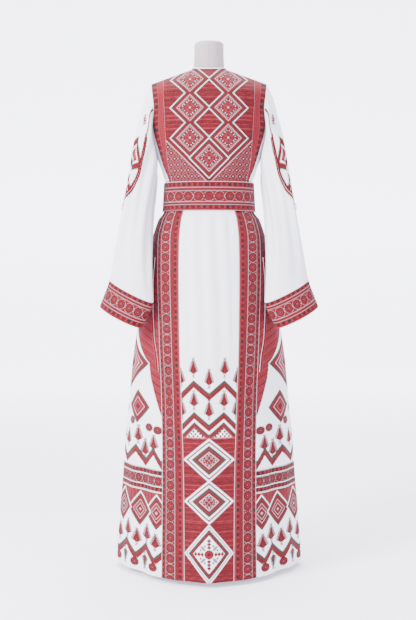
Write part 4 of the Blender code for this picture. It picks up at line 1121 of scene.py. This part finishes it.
# Sleeves: long straight white tubes set into the armholes, worked with a chain of diamonds down
# the outer arm, edged by a stitched red cord, and turned up in a stiff embroidered cuff.
SLEEVE = np.array([
    (0, 0.171, 0.000, 1.444, 0.1545, 0.000, 1.222, 0.062),
    (1, 0.188, -0.015, 1.402, 0.1538, -0.010, 1.211, 0.060),
    (2, 0.2007, -0.028, 1.344, 0.1535, -0.020, 1.1895, 0.056),
    (3, 0.2123, -0.034, 1.299, 0.1545, -0.032, 1.165, 0.053),
    (4, 0.2264, -0.042, 1.224, 0.1584, -0.048, 1.123, 0.050),
    (5, 0.2376, -0.050, 1.158, 0.1640, -0.062, 1.075, 0.047),
    (6, 0.2500, -0.057, 1.090, 0.1675, -0.078, 1.028, 0.045),
    (7, 0.2625, -0.064, 1.016, 0.1690, -0.096, 0.971, 0.043),
    (8, 0.2750, -0.070, 0.942, 0.1680, -0.114, 0.907, 0.041),
    (9, 0.2820, -0.076, 0.898, 0.1660, -0.126, 0.8465, 0.039),
    (10, 0.2886, -0.082, 0.865, 0.1626, -0.136, 0.799, 0.038),
    (11, 0.3160, -0.088, 0.789, 0.1950, -0.143, 0.725, 0.042),
])
CUFF_RING = 10
CUFF_END = 11
ARMHOLE_FADE = 2.5
ARMHOLE_PUFF = 0.008
WIDE_FOLD = 0.0034
FINE_FOLD = 0.0024
CREASE = 0.006
PIPING = np.array([
    (0.00, 0.400, 0.20), (0.15, 0.370, 1.00), (0.32, 0.372, 2.00), (0.52, 0.430, 3.20), (0.66, 0.445, 4.05),
    (0.80, 0.369, 5.00), (0.90, 0.240, 5.70), (1.00, 0.000, 6.30),
])
PIPING_WIDTH = 0.004
PIPING_LIFT = 0.0034
PIPING_STEPS = 89
ARM_RADIUS = 0.06
RING_LENGTH = 0.07
HALF_ROUND_CM = 19
RING_CM = 6.6
CUFF_WIDTH = 8.1
CUFF_PITCH = 2.75
SLEEVE_COLUMNS = 128
CUFF_COLUMNS = 160
SLEEVE_ROWS = 193


def sleeve_ring(turn, ring):
    """Middle + half width x cos(turn) + half depth x sin(turn): turn 0 is the top of the sleeve and
    a quarter turn its back, on the wearer's right."""
    ox, oy, oz, ix, iy, iz, half_depth = [part[..., None] for part in smooth(SLEEVE, ring)]
    outer = np.concatenate([ox, oy, oz], axis=-1)
    inner = np.concatenate([ix, iy, iz], axis=-1)
    middle, half = (outer + inner) / 2, (outer - inner) / 2
    back = unit(np.stack([half[..., 1], -half[..., 0], 0 * half[..., 0]], axis=-1)) * half_depth
    return middle + half * np.cos(turn)[..., None] + back * np.sin(turn)[..., None]


def armhole_ring(turn):
    """The armhole's edge on the bodice at the height (tip + armpit) / 2 + half x cos(turn)."""
    z_row = (TIP_Z + ARMPIT_Z) / 2 + (TIP_Z - ARMPIT_Z) / 2 * np.cos(turn)
    x = smooth(ARMHOLE, z_row)[0]
    z = onto_shoulder(x, z_row)
    y = np.where(np.sin(turn) > 0, bodice_y(x, z), bodice_y(x, z, True))
    return np.stack([x + SEAM_GAP, y, z], axis=-1)


def sleeve_surface(turn, ring):
    """The straight sleeve, drawn onto the armhole over its first rings and puffed a little there."""
    fade = np.clip(1 - ring / ARMHOLE_FADE, 0, 1)
    start = sleeve_ring(turn, 0 * ring)
    points = sleeve_ring(turn, ring) + (fade ** 2)[..., None] * (armhole_ring(turn) - start)
    points[..., 0] += ARMHOLE_PUFF * fade * (1 - np.exp(-ring / 0.3)) * np.abs(np.sin(turn))
    return points


def sleeve_walls(turn, ring, side, lift=0.0, cloth=CLOTH):
    """Outer and inner points: the surface plus soft lengthwise folds and one crease by the shoulder."""
    near = 0.01
    points = sleeve_surface(turn, ring)
    along = sleeve_surface(turn + near, ring) - sleeve_surface(turn - near, ring)
    down = (sleeve_surface(turn, np.clip(ring + near, 0, CUFF_END))
            - sleeve_surface(turn, np.clip(ring - near, 0, CUFF_END)))
    normal = unit(np.cross(along, down))
    middle = np.clip(ring / 3, 0, 1) * np.clip((CUFF_RING - ring) / 3, 0, 1)
    folds = middle * (WIDE_FOLD * np.cos(5 * turn + 0.25 * ring) + FINE_FOLD * np.cos(9 * turn - 0.3 * ring))
    folds = folds - CREASE * np.exp(-((turn - 0.75) / 0.16) ** 2) * np.exp(-((ring - 1.9) / 0.9) ** 2)
    outer = points + normal * (lift + folds)[..., None]
    on_body = points - [SEAM_GAP, 0, 0]
    shoulder = np.where(points[..., 1:2] < 0, bodice_normal(on_body), bodice_normal(on_body, True))
    weight = np.where((ring < 0.01) & (np.cos(turn) > 0), np.cos(turn), 0)[..., None]
    inner = outer - unit(normal * (1 - weight) + shoulder * weight) * cloth
    for wall in (outer, inner):
        wall[..., 0] *= side
    return outer, inner


def paint_sleeve(turn, ring):
    """White cloth with framed diamonds down the outer arm, and a red line beside the cord: the
    distance to the cord's path is the least over its points, in centimetres on the flat sleeve."""
    half_turn = np.abs(np.where(turn > np.pi, turn - 2 * np.pi, turn)) / np.pi
    path_turn, path_ring = smooth(PIPING, np.linspace(0, 1, PIPING_STEPS))
    ground = WHITE + 0 * half_turn[..., None]
    frames = ((1.0, GREY_GREEN), (0.86, RED), (0.62, WHITE), (0.52, RED), (0.40, PINK), (0.26, BRIGHT))
    for place, middle, wide, high in ((0.19, 1.95, 0.07, 0.35), (0.19, 3.80, 0.30, 0.85),
                                      (0.16, 5.50, 0.32, 1.00)):
        reach = np.abs(half_turn - place) / wide + np.abs(ring - middle) / high
        ground = nested_diamond(ground, reach, 4.5, frames)
    inside = within((np.interp(ring, path_ring, path_turn) - half_turn) * HALF_ROUND_CM, 0.3)
    off = np.min(np.hypot((half_turn[..., None] - path_turn) * HALF_ROUND_CM,
                          (ring[..., None] - path_ring) * RING_CM), axis=-1)
    return mottled(lay(mix(WHITE, ground, inside), (within(0.75 - off) * within((ring - 2.3) * 6), RED)))


def row_middles(values):
    """The mean of each row of turns or rings and the row below it."""
    return (values[1:] + values[:-1]) / 2


for name, side in SIDES:
    turn = np.linspace(0, 2 * np.pi, SLEEVE_COLUMNS, endpoint=False)[None, :] + np.zeros((SLEEVE_ROWS, 1))
    ring = (CUFF_RING - SEAM_GAP / 0.08) * np.linspace(0, 1, SLEEVE_ROWS)[:, None] ** 1.15 + 0 * turn
    outer, inner = sleeve_walls(turn, ring, side)
    inks = paint_sleeve(row_middles(turn) + np.pi / SLEEVE_COLUMNS, row_middles(ring))
    sleeve = cloth_piece(f"sleeve_{name}_cloth", outer, inner, cross_stitch, inks, around=True)
    sleeve_area = surface_area(outer, True)

    turn = np.linspace(0, 2 * np.pi, CUFF_COLUMNS, endpoint=False)[None, :] + np.zeros((TURN_ROWS, 1))
    ring = CUFF_RING + np.linspace(0, 1, TURN_ROWS)[:, None] + 0 * turn
    outer, inner = sleeve_walls(turn, ring, side)
    around_cuff = np.concatenate([outer, outer[:, :1]], axis=1)
    along = np.cumsum(np.linalg.norm(np.diff(around_cuff, axis=1), axis=-1), axis=1)[1:] * 100
    inks = paint_belt(row_middles(ring) - CUFF_RING, along, CUFF_WIDTH, CUFF_PITCH)
    sew(f"cuff_{name}", "red_embroidery", (0.373, 0.083), outer, cross_stitch, inks, inner, True)

    turn, ring = smooth(PIPING, np.linspace(0, 1, PIPING_STEPS))
    pace = unit(np.gradient(np.stack([turn * np.pi * ARM_RADIUS, ring * RING_LENGTH], axis=-1), axis=0))
    shift = PIPING_WIDTH / 2 * np.linspace(-1, 1, 3)[None, :]
    wide_turn = turn[:, None] * np.pi + shift * pace[:, 1:2] / ARM_RADIUS
    wide_ring = np.clip(ring[:, None] - shift * pace[:, 0:1] / RING_LENGTH, 0.1, CUFF_RING)
    whole_turn = np.concatenate([wide_turn, -wide_turn[-2::-1]])
    whole_ring = np.concatenate([wide_ring, wide_ring[-2::-1]])
    outer, inner = sleeve_walls(whole_turn, whole_ring, side, PIPING_LIFT, TRIM_CLOTH)
    inks = np.zeros((outer.shape[0] - 1, outer.shape[1] - 1, 3)) + RED
    cord = cloth_piece(f"sleeve_piping_{name}_cord", outer, inner, cross_stitch, inks, coarse=1)
    dress(cord, f"sleeve_piping_{name}")
    hung(sleeve, f"sleeve_{name}", "white_cloth", 0.35, 0.66, sleeve_area, trims=[cord])
